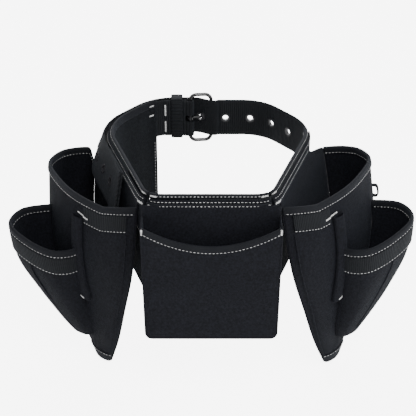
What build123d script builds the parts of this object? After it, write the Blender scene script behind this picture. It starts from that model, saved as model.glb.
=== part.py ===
"""Carpenter's tool belt: a web belt with a buckle, three hip pads and three hanging tool pouches.

Millimetres. +Z is up, +Y points to the back of the waist, where the buckle is, and +X to one side.
The origin is the middle of the waist loop at the belt's mid-height.
"""
from build123d import *
import os
from math import atan2, cos, degrees, hypot, radians, sin, tan

os.makedirs("parts", exist_ok=True)

# ---- Waist loop: inner face of the hip pads, as a rounded six-sided loop ---------------------
LOOP_FRONT = 122.0            # distance from the origin to the straight front
LOOP_BACK = 125.0             # distance from the origin to the straight back
FRONT_HALF = 68.0             # half length of the front side, at its sharp corner
SIDE_HALF = 124.0             # half width at the widest corner
SIDE_Y = 52.0                 # how far back the widest corner lies
BACK_HALF = 66.0              # half length of the back side, at its sharp corner
FRONT_RADIUS = 22.0
SIDE_RADIUS = 75.0
BACK_RADIUS = 50.0

# ---- Webbing and cloth thicknesses -----------------------------------------------------------
WEB_WIDTH = 50.0
WEB_THICK = 2.8
PAD_THICK = 2.5
COVER_THICK = 2.0
LEAF_THICK = 2.0
CLOTH = 2.0                   # wall of a pouch
FLOOR = 4.0                   # thickness at the closed foot of a side or small pouch
OPEN_BACK = 1.0               # how far a pouch's hollow is cut past its wall into the leaf
BINDING = 1.2                 # edge tape over a rim
TAPE = 1.4                    # web band sewn on a pouch
GAP = 0.3                     # between pieces that move past each other

# ---- Hip pads and tunnels --------------------------------------------------------------------
PAD_TOP = 28.0
PAD_DROP = 110.0              # depth of the side pads below the origin
CENTRE_PAD_DROP = 70.0
COVER_TOP = 24.0
TUNNEL_FLOOR = 2.5            # height of the seam that closes a tunnel's lower edge
BAND_TOP = 20.0
HINGE_Z = 10.0                # top edge of the hanging leaves
PAD_BINDING_DEPTH = 9.0
LEFT_PAD_REAR = 119.0         # plan angle of the rear edge of the left pad, degrees
RIGHT_PAD_REAR = 21.0
SIDE_BAND_REAR = 176.0        # plan angle where a side pouch's hanger band ends, degrees
PAD_SPLIT = 1.0               # plan angle of the gap between two pads, degrees

# ---- Side pouches, in their own frame: u along the hip to the rear, w outward, z up ----------
HIP_START = 12.0              # from the sharp front corner to the pouch's front edge
SIDE_LENGTH = 190.0
SIDE_DEPTH = 66.0
SIDE_TIP_Z = 260.0            # height from hinge to tip
LEFT_LEAN = 5.0               # how far the left pouch hangs off vertical at rest, degrees
RIGHT_LEAN = 10.0
SIDE_OUTLINE = [(0.0, 0.0), (0.04, 0.24), (0.14, 0.50), (0.37, 0.85), (0.61, 1.0), (0.82, 1.0),
                (0.96, 0.70), (1.0, 0.36), (0.99, 0.0)]
# height as a share of the pouch's, front edge and rear edge as shares of its length, depth share
SIDE_LEVELS = [(0.0, 0.0, 1.0, 1.0), (0.33, 0.005, 0.99, 0.97), (0.60, 0.12, 0.87, 0.78),
               (0.81, 0.22, 0.69, 0.48), (1.0, 0.36, 0.49, 0.17)]
MOUTH_FRONT = 5.0             # depth of the mouth below the hinge at its front end
MOUTH_DROP = 15.0             # and where the rim has levelled out
MOUTH_REAR = 20.0
MOUTH_TURN = 26.0             # u at which the rim has levelled out
RIM = 9.0                     # depth of the edge tape
SIDE_GUSSET = 10.0            # width of the strip between leaf and face
SIDE_BAND = 22.0              # depth of the web band below the rim
SIDE_BAND_END = {"left": 50.0, "right": 40.0}     # u at which the web band under the rim ends
TIP_CAP = 16.0
TAIL_NOTCH_DEPTH = 43.0       # lowered rear corner that lets the belt's tail in
TAIL_NOTCH_WIDTH = 7.0
TAIL_NOTCH_START = 150.0
HINGE_SPAN = {"left": 118.0, "right": 132.0}     # length of a leaf's top edge, along the hip
LEAF_REAR_DROP = {"left": 50.0, "right": 20.0}   # its lowered rear corner, which lets the tail by

# ---- Small pouch on the outer wall of a side pouch -------------------------------------------
SMALL_FRONT = {"left": 48.0, "right": 40.0}
SMALL_LENGTH = {"left": 87.0, "right": 95.0}
SMALL_BASE = {"left": 42.0, "right": 39.0}     # its inner line, buried in the side pouch
SMALL_DEPTH = {"left": 84.0, "right": 87.0}
SMALL_TOP = 60.0
SMALL_HEIGHT = 158.0
SMALL_OUTLINE = [(0.10, 0.0), (0.0, 0.28), (0.04, 0.56), (0.34, 0.86), (0.68, 1.0), (0.94, 0.78),
                 (1.0, 0.44), (0.97, 0.0)]
# height share, front and rear shares of its length, base and depth shares
SMALL_LEVELS = [(0.0, 0.0, 1.0, 1.0, 1.0), (0.36, 0.04, 0.95, 1.0, 0.85),
                (0.63, 0.08, 0.84, 0.86, 0.625), (0.87, 0.14, 0.63, 0.62, 0.41),
                (1.0, 0.24, 0.48, 0.50, 0.27)]
SMALL_MOUTH_FRONT = 83.0      # depth of its mouth below the hinge at the front
SMALL_MOUTH_REAR = 66.0
SMALL_BAND = 24.0

# ---- Narrow tool sleeve beside the small pouch -----------------------------------------------
SLEEVE_TOP = 31.0
SLEEVE_BOTTOM = 146.0
SLEEVE_HALF = 8.0
SLEEVE_DEEP = 5.6
SLEEVE_WALL = 1.6
SLEEVE_TURN = 29.0

# ---- Pieces that only the right pouch has ----------------------------------------------------
POCKET_U = (95, 168)          # inner pocket, along the hip
POCKET_Z = (-118, -52)
LOOP_OUT = 5.0                # how far the web loops stand out
LOOP_THICK = 1.6
WALL_LOOP_U, WALL_LOOP_Z = 152.0, -62.0
LOW_LOOP_U, LOW_LOOP_Z = 106.0, -208.0
LABEL_THICK = 0.8
LABEL_Z = (-112, -90)

# ---- Centre pouch ----------------------------------------------------------------------------
CENTRE_WIDTH = 155.0
CENTRE_FOOT = 149.0
CENTRE_SHIFT = 2.5            # how far the pouch hangs towards +X
CENTRE_DEPTH = 26.0
CENTRE_BOTTOM = 151.0         # below the hinge
CENTRE_RIM_SIDE = 4.0         # rim below the hinge at the sides
CENTRE_SCOOP = 29.0           # and at the middle
CENTRE_CORNER = 7.0
CENTRE_GUSSET_DROP = 2.0      # top of the side gussets below the hinge

# ---- Buckle ----------------------------------------------------------------------------------
WIRE = 4.5
FRAME_HEIGHT = 64.0           # between the centres of the upper and lower wires
FRAME_LENGTH = 26.6
FRAME_CORNER = 8.0
FRAME_OUT = 2.5               # how far the front bar stands out past the heel bar
HEEL_X = -24.0
PRONG_WIRE = 3.0
PRONG_LIFT = 1.5              # gap between the prong and the front bar
PRONG_PAST = 4.5              # how far the prong reaches past the front bar
EYE_WALL = 2.2
RUNNING = 0.08                # radial clearance of the prong's eye on the bar
CHAPE_ROOM = 0.25             # radial clearance of the folded web on the bar
CHAPE_CLOSE = 10.0            # distance behind the bar at which the two layers meet
CHAPE_LENGTH = 34.0           # folded end of the web behind the heel bar
CHAPE_SLOT = 4.5              # half height of the slot for the prong
KEEPER_WIDTH = 15.0
KEEPER_THICK = 2.0
KEEPER_X = -41.0
KEEPER_ROOM = 1.0
HOLE_PITCH = 31.75
HOLE_RADIUS = 3.6
EYELET_RADIUS = 5.8
EYELET_LIP = 0.5
EYELET_WALL = 0.6
STRAP_HOLES = 4               # open holes between the buckle and the right pad
TAIL_HOLES = 8                # holes in the tail past the buckle
STRAP_BEND = 14.0             # x at which the strap starts to dip under the front bar

# ---- Belt tail: the free end beyond the buckle, laid round the left side ---------------------
TAIL_RUN = 303.0              # from the middle of the back to the folded tip, along the loop
TAIL_LEAN = 19.0              # how far its lower edge stands off at the hip, degrees
TAIL_LEAN_FROM = 55.0          # where along the loop the lean starts and is complete
TAIL_LEAN_TO = 140.0
TAIL_HEM = 24.0
TAIL_SLANT = 28.0             # the folded end's slant, degrees

# ---- Offsets of the layers outward from the loop, worked out from the thicknesses ------------
WEB_IN = PAD_THICK
WEB_OUT = WEB_IN + WEB_THICK
COVER_OUT = WEB_OUT + COVER_THICK
LEAF_MID = COVER_OUT + GAP + LEAF_THICK / 2
BAND_OUT = COVER_OUT + GAP + LEAF_THICK
TAIL_IN = BAND_OUT + 0.4
TAIL_MID = TAIL_IN + WEB_THICK / 2
STRAP_LOW = WEB_IN + FRAME_OUT - WIRE / 2 - GAP / 2 - WEB_THICK / 2     # strap inside the front bar
HALF_WEB = WEB_WIDTH / 2
TUNNEL_BOTTOM = -HALF_WEB - TUNNEL_FLOOR

parts = {}


# ---- Waist loop geometry ---------------------------------------------------------------------
LOOP_CORNERS = [(-FRONT_HALF, -LOOP_FRONT), (FRONT_HALF, -LOOP_FRONT), (SIDE_HALF, SIDE_Y),
                (BACK_HALF, LOOP_BACK), (-BACK_HALF, LOOP_BACK), (-SIDE_HALF, SIDE_Y)]
LOOP_RADII = [FRONT_RADIUS, FRONT_RADIUS, SIDE_RADIUS, BACK_RADIUS, BACK_RADIUS, SIDE_RADIUS]


def corner_turn(before, corner, after):
    """Angle turned at a corner, and the length that its fillet takes from each side per radius."""
    first = atan2(corner[1] - before[1], corner[0] - before[0])
    second = atan2(after[1] - corner[1], after[0] - corner[0])
    turn = abs((degrees(second - first) + 180) % 360 - 180)
    return radians(turn), tan(radians(turn) / 2)


def loop_runs():
    """Straight runs and arcs from the middle of the back, round the +X side, to the front."""
    stops = [(0, LOOP_BACK), (BACK_HALF, LOOP_BACK), (SIDE_HALF, SIDE_Y), (FRONT_HALF, -LOOP_FRONT),
             (0, -LOOP_FRONT)]
    radii = [BACK_RADIUS, SIDE_RADIUS, FRONT_RADIUS]
    runs = []
    used = 0.0
    for i in range(len(stops) - 1):
        length = hypot(stops[i + 1][0] - stops[i][0], stops[i + 1][1] - stops[i][1])
        if i < len(radii):
            turn, share = corner_turn(stops[i], stops[i + 1], stops[i + 2])
            runs.append((length - used - share * radii[i], radii[i], turn))
            used = share * radii[i]
        else:
            runs.append((length - used, 0.0, 0.0))
    return runs


def loop_station(distance, offset, side=1):
    """Point and outward direction a distance round the loop from the back, at an offset outward."""
    x, y, heading = 0.0, LOOP_BACK + offset, 0.0
    left = distance
    for straight, radius, turn in loop_runs():
        step = min(left, straight)
        x += step * cos(heading)
        y += step * sin(heading)
        left -= step
        if left <= 0:
            break
        arc = (radius + offset) * turn
        swing = min(left, arc) / (radius + offset) if radius else 0.0
        centre = (x + (radius + offset) * sin(heading), y - (radius + offset) * cos(heading))
        heading -= swing
        x = centre[0] - (radius + offset) * sin(heading)
        y = centre[1] + (radius + offset) * cos(heading)
        left -= arc
        if left <= 0:
            break
    return (side * x, y), (side * -sin(heading), cos(heading))


def loop_face(offset_out):
    """The loop as a face, grown outward."""
    face = make_face(FilletPolyline(*LOOP_CORNERS, radius=LOOP_RADII, close=True))
    return offset(face, amount=offset_out) if offset_out else face


def wall(inner, outer, low, high):
    """A closed wall that follows the loop between two offsets and two heights."""
    ring = loop_face(outer) - loop_face(inner)
    return Pos(0, 0, low) * extrude(ring, amount=high - low)


def sector(start, end):
    """Everything between two plan angles, in degrees, counted from +X towards +Y."""
    reach = 400.0
    corners = [(0, 0)]
    steps = 4
    for i in range(steps + 1):
        angle = radians(start + (end - start) * i / steps)
        corners.append((reach * cos(angle), reach * sin(angle)))
    return Pos(0, 0, -reach) * extrude(make_face(Polyline(*corners, close=True)), amount=2 * reach)


FRONT_ANGLE = degrees(atan2(-LOOP_FRONT, FRONT_HALF))          # of the right front corner
PAD_SPANS = {
    "left": (LEFT_PAD_REAR, 180 - FRONT_ANGLE - PAD_SPLIT / 2),
    "centre": (180 - FRONT_ANGLE + PAD_SPLIT / 2, 360 + FRONT_ANGLE - PAD_SPLIT / 2),
    "right": (FRONT_ANGLE + PAD_SPLIT / 2, RIGHT_PAD_REAR),
}
PAD_DROPS = {"left": PAD_DROP, "centre": CENTRE_PAD_DROP, "right": PAD_DROP}


def make_pads():
    """Three hip pads: lining, edge tape, tunnel cover and the band that the pouch hangs under."""
    for side, (start, end) in PAD_SPANS.items():
        span = sector(start, end)
        parts[side + "_hip_pad"] = wall(0, PAD_THICK, -PAD_DROPS[side], PAD_TOP) & span
        tape = wall(-BINDING, 0, PAD_TOP - PAD_BINDING_DEPTH, PAD_TOP)
        tape += wall(-BINDING, PAD_THICK + BINDING, PAD_TOP, PAD_TOP + BINDING)
        tape += wall(PAD_THICK, PAD_THICK + BINDING, HALF_WEB + GAP, PAD_TOP)
        parts[side + "_pad_edge_tape"] = tape & span
        cover = wall(WEB_OUT, COVER_OUT, TUNNEL_BOTTOM, COVER_TOP)
        cover += wall(WEB_IN, WEB_OUT, TUNNEL_BOTTOM, -HALF_WEB)
        parts[side + "_tunnel_cover"] = cover & span


def make_hanger_bands():
    """Bands on the tunnel covers, just above the hanging leaves."""
    spans = {"left": (SIDE_BAND_REAR, PAD_SPANS["left"][1]), "centre": PAD_SPANS["centre"],
             "right": (PAD_SPANS["right"][0], 180 - SIDE_BAND_REAR)}
    low = HINGE_Z + LEAF_THICK / 2 + GAP
    for side, (start, end) in spans.items():
        parts[side + "_hanger_band"] = wall(COVER_OUT, BAND_OUT, low, BAND_TOP) & sector(start, end)


# ---- Side pouches ----------------------------------------------------------------------------
def section(outline, front, rear, base, depth, grow, height, open_back):
    """One closed level of a pouch: a straight inner line and a curved outer wall, grown outward."""
    points = [Vector(front + (rear - front) * u, base + depth * w) for u, w in outline]
    moved = []
    last = len(points) - 1
    for i, point in enumerate(points):
        along = points[min(i + 1, last)] - points[max(i - 1, 0)]
        out = Vector(-along.Y, along.X).normalized()
        if i in (0, last):
            out = Vector(-1, 0) if i == 0 else Vector(1, 0)
        moved.append(point + out * grow)
    moved[0] = Vector(moved[0].X, base - open_back)
    moved[last] = Vector(moved[last].X, base - open_back)
    curve = Spline(*moved)
    return Pos(0, 0, height) * make_face([curve, Line(moved[last], moved[0])])


def side_solid(grow, floor=0.0, open_back=0.0):
    """The side pouch's outer shape, grown or shrunk; floor lifts its lowest level."""
    levels = []
    for height, front, rear, depth in SIDE_LEVELS:
        z = -SIDE_TIP_Z * height
        if height == 1.0:
            z += floor
        levels.append(section(SIDE_OUTLINE, SIDE_LENGTH * front, SIDE_LENGTH * rear, LEAF_THICK / 2,
                              SIDE_DEPTH * depth, grow, z, open_back))
    return loft(levels)


def small_solid(side, grow, floor=0.0):
    """The small pouch's outer shape, with its inner line buried in the side pouch."""
    levels = []
    for height, front, rear, base, depth in SMALL_LEVELS:
        z = -SMALL_TOP - SMALL_HEIGHT * height
        if height == 1.0:
            z += floor
        levels.append(section(SMALL_OUTLINE, SMALL_FRONT[side] + SMALL_LENGTH[side] * front,
                              SMALL_FRONT[side] + SMALL_LENGTH[side] * rear, SMALL_BASE[side] * base,
                              SMALL_DEPTH[side] * depth, grow, z, 0.0))
    return loft(levels)


def side_view_slab(profile):
    """A profile drawn in u and z, as a solid that runs right through the pouch along w."""
    face = make_face(Polyline(*[(u, 0, z) for u, z in profile], close=True))
    return Pos(0, -100, 0) * extrude(face, amount=400, dir=(0, 1, 0))


def below(line, drop):
    """Everything lower than a rim line lowered by drop."""
    profile = [(-60, line[0][1] - drop)] + [(u, z - drop) for u, z in line]
    profile += [(300, line[-1][1] - drop), (300, -400), (-60, -400)]
    return side_view_slab(profile)


def corner_box(u, w, z):
    """A box between two corners given as ranges."""
    box = Box(u[1] - u[0], w[1] - w[0], z[1] - z[0])
    return Pos((u[0] + u[1]) / 2, (w[0] + w[1]) / 2, (z[0] + z[1]) / 2) * box


SIDE_RIM = [(0, -MOUTH_FRONT), (MOUTH_TURN, -MOUTH_DROP), (SIDE_LENGTH, -MOUTH_REAR)]


def small_rim(side):
    """The small pouch's rim line in u and z."""
    rear = SMALL_FRONT[side] + SMALL_LENGTH[side]
    return [(SMALL_FRONT[side], -SMALL_MOUTH_FRONT), (rear, -SMALL_MOUTH_REAR)]


def side_wall_depth(u, height):
    """Distance from the hinge plane to the side pouch's outer wall at u, near a given height share."""
    low, high = SIDE_LEVELS[0], SIDE_LEVELS[-1]
    for first, second in zip(SIDE_LEVELS, SIDE_LEVELS[1:]):
        if first[0] <= height <= second[0]:
            low, high = first, second
    share = (height - low[0]) / (high[0] - low[0])
    front, rear, depth = [low[i] + (high[i] - low[i]) * share for i in (1, 2, 3)]
    along = (u / SIDE_LENGTH - front) / (rear - front)
    for (u0, w0), (u1, w1) in zip(SIDE_OUTLINE, SIDE_OUTLINE[1:]):
        if u0 <= along <= u1:
            return LEAF_THICK / 2 + SIDE_DEPTH * depth * (w0 + (w1 - w0) * (along - u0) / (u1 - u0))
    return LEAF_THICK / 2


def side_leaf(span, rear_drop):
    """The flat back of a side pouch: a round top edge on the hinge line, sloping to the rear."""
    outline = [(SIDE_LENGTH * front, -SIDE_TIP_Z * h) for h, front, _, _ in SIDE_LEVELS]
    outline += [(SIDE_LENGTH * rear, -SIDE_TIP_Z * h) for h, _, rear, _ in reversed(SIDE_LEVELS[1:])]
    outline += [(SIDE_LENGTH * SIDE_LEVELS[0][2], -rear_drop), (span, 0)]
    face = make_face(Polyline(*[(u, 0, z) for u, z in outline], close=True))
    leaf = Pos(0, -LEAF_THICK / 2, 0) * extrude(face, amount=LEAF_THICK, dir=(0, 1, 0))
    knuckle = Cylinder(LEAF_THICK / 2, span, rotation=(0, 90, 0))
    return leaf + Pos(span / 2, 0, 0) * knuckle


def tool_sleeve(side, radius_cut):
    """The narrow sleeve's elliptical tube, or its bore when radius_cut is the wall."""
    centre_u = SMALL_FRONT[side] + SLEEVE_HALF
    levels = []
    over = 1.0 if radius_cut else 0.0
    for z in (-SLEEVE_TOP + over, -SLEEVE_BOTTOM - over):
        w = side_wall_depth(centre_u, -z / SIDE_TIP_Z) + SLEEVE_DEEP - 1.0
        ellipse = Ellipse(SLEEVE_HALF - radius_cut, SLEEVE_DEEP - radius_cut)
        levels.append(Pos(centre_u - 1, w, z) * Rot(0, 0, SLEEVE_TURN) * ellipse)
    return loft(levels)


def make_side_pouch(side, lean):
    """One side pouch with everything sewn to it, placed at its hip."""
    outer = side_solid(0.0)
    inner = side_solid(-CLOTH, FLOOR, OPEN_BACK)
    taped = side_solid(BINDING)
    lined = side_solid(-CLOTH - BINDING, FLOOR + BINDING, OPEN_BACK)
    banded = side_solid(TAPE)
    mouth = below(SIDE_RIM, BINDING)
    notch = corner_box((TAIL_NOTCH_START, SIDE_LENGTH + 40), (LEAF_THICK / 2, TAIL_NOTCH_WIDTH),
                       (-TAIL_NOTCH_DEPTH, 10))
    if side == "left":
        mouth -= notch
    past_leaf = corner_box((-40, 260), (LEAF_THICK / 2, 200), (-400, 60))
    gusset_zone = corner_box((-40, 260), (LEAF_THICK / 2, SIDE_GUSSET), (-400, 60))
    shell = (outer - inner) & mouth & past_leaf
    cap_zone = corner_box((-40, 260), (LEAF_THICK / 2, 200), (-400, -SIDE_TIP_Z + TIP_CAP))
    zone = below(SIDE_RIM, 0) - below(SIDE_RIM, RIM)
    if side == "left":
        zone -= notch
    band_zone = (below(SIDE_RIM, RIM) - below(SIDE_RIM, RIM + SIDE_BAND)) & corner_box(
        (-40, SIDE_BAND_END[side]), (SIDE_GUSSET, 200), (-400, 60))

    small_outer = small_solid(side, 0.0) - outer
    small_inner = small_solid(side, -CLOTH, FLOOR)
    small_taped = small_solid(side, BINDING)
    small_banded = small_solid(side, TAPE)
    small_lined = small_solid(side, -CLOTH - BINDING, FLOOR + BINDING)
    small_mouth = below(small_rim(side), BINDING)
    small_zone = below(small_rim(side), 0) - below(small_rim(side), RIM)
    small_band_zone = below(small_rim(side), RIM) - below(small_rim(side), RIM + SMALL_BAND)
    small_shell = (small_outer - small_inner) & small_mouth

    made = {
        "leaf": side_leaf(HINGE_SPAN[side], LEAF_REAR_DROP[side]),
        "gusset": shell & gusset_zone,
        "face": shell - gusset_zone,
        "rim_tape": ((taped - lined) & zone & past_leaf) - shell,
        "web_band": (banded - outer) & band_zone,
        "tip_cap": ((banded - outer) & cap_zone),
        "small_pouch": small_shell,
        "small_rim_tape": ((small_taped - small_lined) & small_zone) - small_shell - taped,
        "small_web_band": ((small_banded - small_solid(side, 0.0)) & small_band_zone) - outer,
        "tool_sleeve": tool_sleeve(side, 0.0) - tool_sleeve(side, SLEEVE_WALL) - banded - small_banded,
    }
    if side == "right":
        made.update(right_extras(outer, inner, lined, small_banded))
    place = side_place(lean)
    for name, shape in made.items():
        placed = place * shape
        if side == "right":
            placed = mirror(placed, about=Plane.YZ)
        parts[side + "_" + name] = placed


def web_loop(u, z, across, tall):
    """A flat loop of web that stands on the side pouch's wall at u and z."""
    w = side_wall_depth(u, -z / SIDE_TIP_Z)
    ring = Box(across, 2 * LOOP_OUT, tall)
    ring -= Box(across + 1, 2 * (LOOP_OUT - LOOP_THICK), tall - 2 * LOOP_THICK)
    return Pos(u, w, z) * ring


def right_extras(outer, inner, lined, small_banded):
    """Pieces that only the right pouch has: an inner pocket, two web loops and a plain label."""
    pocket = (inner - lined) & corner_box(POCKET_U, (30, 200), POCKET_Z)
    wall_loop = web_loop(WALL_LOOP_U, WALL_LOOP_Z, 8, 16) - outer
    low_loop = web_loop(LOW_LOOP_U, LOW_LOOP_Z, 10, 16) - outer - small_banded
    label_front = SMALL_FRONT["right"] + 0.70 * SMALL_LENGTH["right"]
    label = small_solid("right", TAPE + LABEL_THICK) - small_banded
    label &= corner_box((label_front, 200), (92, 200), LABEL_Z)
    return {"inner_pocket": pocket, "wall_loop": wall_loop, "low_loop": low_loop, "label": label}


def hip_line():
    """Direction along the left hip to the rear, outward direction, and the hinge's front end."""
    length = hypot(SIDE_HALF - FRONT_HALF, SIDE_Y + LOOP_FRONT)
    along = (-(SIDE_HALF - FRONT_HALF) / length, (SIDE_Y + LOOP_FRONT) / length)
    out = (-along[1], along[0])
    start = (-FRONT_HALF + along[0] * HIP_START + out[0] * LEAF_MID,
             -LOOP_FRONT + along[1] * HIP_START + out[1] * LEAF_MID, HINGE_Z)
    return along, out, start


def side_place(lean):
    """Where the left pouch's own frame stands: u to the rear, w outward, leaning out at the foot."""
    along, out, start = hip_line()
    axis = Vector(along[0], along[1], 0)
    up = Vector(-out[0] * sin(radians(lean)), -out[1] * sin(radians(lean)), cos(radians(lean)))
    return Plane(origin=start, x_dir=axis, z_dir=up).location


# ---- Centre pouch ----------------------------------------------------------------------------
CENTRE_BACK = -LOOP_FRONT - LEAF_MID                   # the leaf's middle plane
CENTRE_WALL = CENTRE_BACK - LEAF_THICK / 2             # the leaf's outer face
CENTRE_FRONT = CENTRE_WALL - CENTRE_DEPTH
CENTRE_FLOOR = HINGE_Z - CENTRE_BOTTOM


def centre_block(grow, near, far):
    """The centre pouch's front outline, grown or shrunk, as a block between two planes in Y."""
    half, foot = CENTRE_WIDTH / 2 + grow, CENTRE_FOOT / 2 + grow
    floor = CENTRE_FLOOR - grow
    corners = [(-half, 0, HINGE_Z), (-foot, 0, floor), (foot, 0, floor), (half, 0, HINGE_Z)]
    face = make_face(Polyline(*corners, close=True))
    block = Pos(0, near, 0) * extrude(face, amount=far - near, dir=(0, 1, 0))
    upright = block.edges().filter_by(Axis.Y)
    return fillet([e for e in upright if e.center().Z < floor + 1], CENTRE_CORNER + grow)


def centre_below(drop):
    """Everything lower than the scooped rim lowered by drop."""
    reach = CENTRE_WIDTH
    side_z, mid_z = HINGE_Z - CENTRE_RIM_SIDE - drop, HINGE_Z - CENTRE_SCOOP - drop
    half = CENTRE_WIDTH / 2
    scoop = ThreePointArc((-half, 0, side_z), (0, 0, mid_z), (half, 0, side_z))
    rest = Polyline((half, 0, side_z), (reach, 0, side_z), (reach, 0, -400), (-reach, 0, -400),
                    (-reach, 0, side_z), (-half, 0, side_z))
    return Pos(0, -300, 0) * extrude(make_face([scoop, rest]), amount=300, dir=(0, 1, 0))


def make_centre_pouch():
    """The wide front pouch: leaf, side and bottom gusset, scooped face and edge tape."""
    leaf = centre_block(0, CENTRE_WALL, CENTRE_WALL + LEAF_THICK)
    knuckle = Cylinder(LEAF_THICK / 2, CENTRE_WIDTH, rotation=(0, 90, 0))
    parts["centre_leaf"] = leaf + Pos(0, CENTRE_BACK, HINGE_Z) * knuckle
    ring = centre_block(0, CENTRE_FRONT + CLOTH, CENTRE_WALL)
    ring -= centre_block(-CLOTH, CENTRE_FRONT, CENTRE_WALL)
    above = Pos(0, 0, HINGE_Z - CENTRE_GUSSET_DROP + 50) * Box(400, 600, 100)
    parts["centre_gusset"] = ring - above
    front = centre_block(0, CENTRE_FRONT, CENTRE_FRONT + CLOTH)
    parts["centre_face"] = front & centre_below(BINDING)
    tape = centre_block(0, CENTRE_FRONT - BINDING, CENTRE_FRONT + CLOTH + BINDING)
    tape = (tape & centre_below(0)) - centre_below(RIM)
    parts["centre_rim_tape"] = tape - parts["centre_face"] - parts["centre_gusset"]
    for name in ("leaf", "gusset", "face", "rim_tape"):
        parts["centre_" + name] = Pos(CENTRE_SHIFT, 0, 0) * parts["centre_" + name]


# ---- Webbing ---------------------------------------------------------------------------------
def back_point(x, out):
    """A plan point at the straight back of the loop."""
    return (x, LOOP_BACK + out)


def ribbon(centre, thick):
    """Plan outline of a strip that follows a line of points, mitred at its turns."""
    left, right = [], []
    for i, point in enumerate(centre):
        before = Vector(*centre[max(i - 1, 0)])
        after = Vector(*centre[min(i + 1, len(centre) - 1)])
        here = Vector(*point)
        first = (here - before).normalized() if i else (after - here).normalized()
        second = (after - here).normalized() if i < len(centre) - 1 else first
        mean = (first + second).normalized()
        reach = thick / 2 / max(mean.dot(first), 0.5)
        side = Vector(-mean.Y, mean.X) * reach
        left.append(here + side)
        right.append(here - side)
    return make_face(Polyline(*left, *reversed(right), close=True))


def web_block(plan):
    """A plan outline extruded to the belt's width."""
    return Pos(0, 0, -HALF_WEB) * extrude(plan, amount=WEB_WIDTH)


def eyelet_hole(place, radius):
    """A round cutter along a place's own Z, right through the web."""
    return place * Cylinder(radius, 2 * WEB_THICK)


def hole_places():
    """Where each eyelet sits, with local Z along its hole: the pinned one, the strap's, the tail's."""
    along = Vector(STEEP_END[0] - STEEP_START[0], STEEP_END[1] - STEEP_START[1])
    middle = ((STEEP_START[0] + STEEP_END[0]) / 2, (STEEP_START[1] + STEEP_END[1]) / 2, 0)
    pinned = Plane(origin=middle, x_dir=(0, 0, 1), z_dir=(-along.Y, along.X, 0)).location
    strap, tail = [], []
    for i in range(1, STRAP_HOLES + 1):
        (x, y), (nx, ny) = loop_station(middle[0] + i * HOLE_PITCH, WEB_IN + WEB_THICK / 2)
        strap.append(Plane(origin=(x, y, 0), x_dir=(0, 0, 1), z_dir=(nx, ny, 0)).location)
    for i in range(1, TAIL_HOLES + 1):
        tail.append(tail_place(-middle[0] + i * HOLE_PITCH))
    return pinned, strap, tail


def tail_lean(distance):
    """Lean of the tail at a distance round the loop, in radians."""
    share = (distance - TAIL_LEAN_FROM) / (TAIL_LEAN_TO - TAIL_LEAN_FROM)
    return radians(TAIL_LEAN) * min(max(share, 0.0), 1.0)


def tail_place(distance):
    """A frame at the tail's middle: local X runs up the web and local Z out of its face."""
    (x, y), (nx, ny) = loop_station(distance, TAIL_MID, side=-1)
    lean = tail_lean(distance)
    drop = HALF_WEB
    centre = (x + nx * drop * sin(lean), y + ny * drop * sin(lean), HALF_WEB - drop * cos(lean))
    up = (-nx * sin(lean), -ny * sin(lean), cos(lean))
    face = (nx * cos(lean), ny * cos(lean), sin(lean))
    return Plane(origin=centre, x_dir=up, z_dir=face).location


def tail_section(distance, thick=WEB_THICK, lift=0.0):
    """A section across the tail."""
    place = tail_place(distance)
    section_frame = place * Location(Plane.XZ)
    return section_frame * Pos(0, lift, 0) * Rectangle(WEB_WIDTH, thick)


BAR_X = HEEL_X + FRAME_LENGTH
STEEP_START = back_point(HEEL_X / 2 + BAR_X / 2 + 5.0, STRAP_LOW)
STEEP_END = back_point(HEEL_X / 2 + BAR_X / 2 - 5.0, TAIL_MID)
TAIL_START = 24.0
TAIL_STEPS = 22


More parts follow.
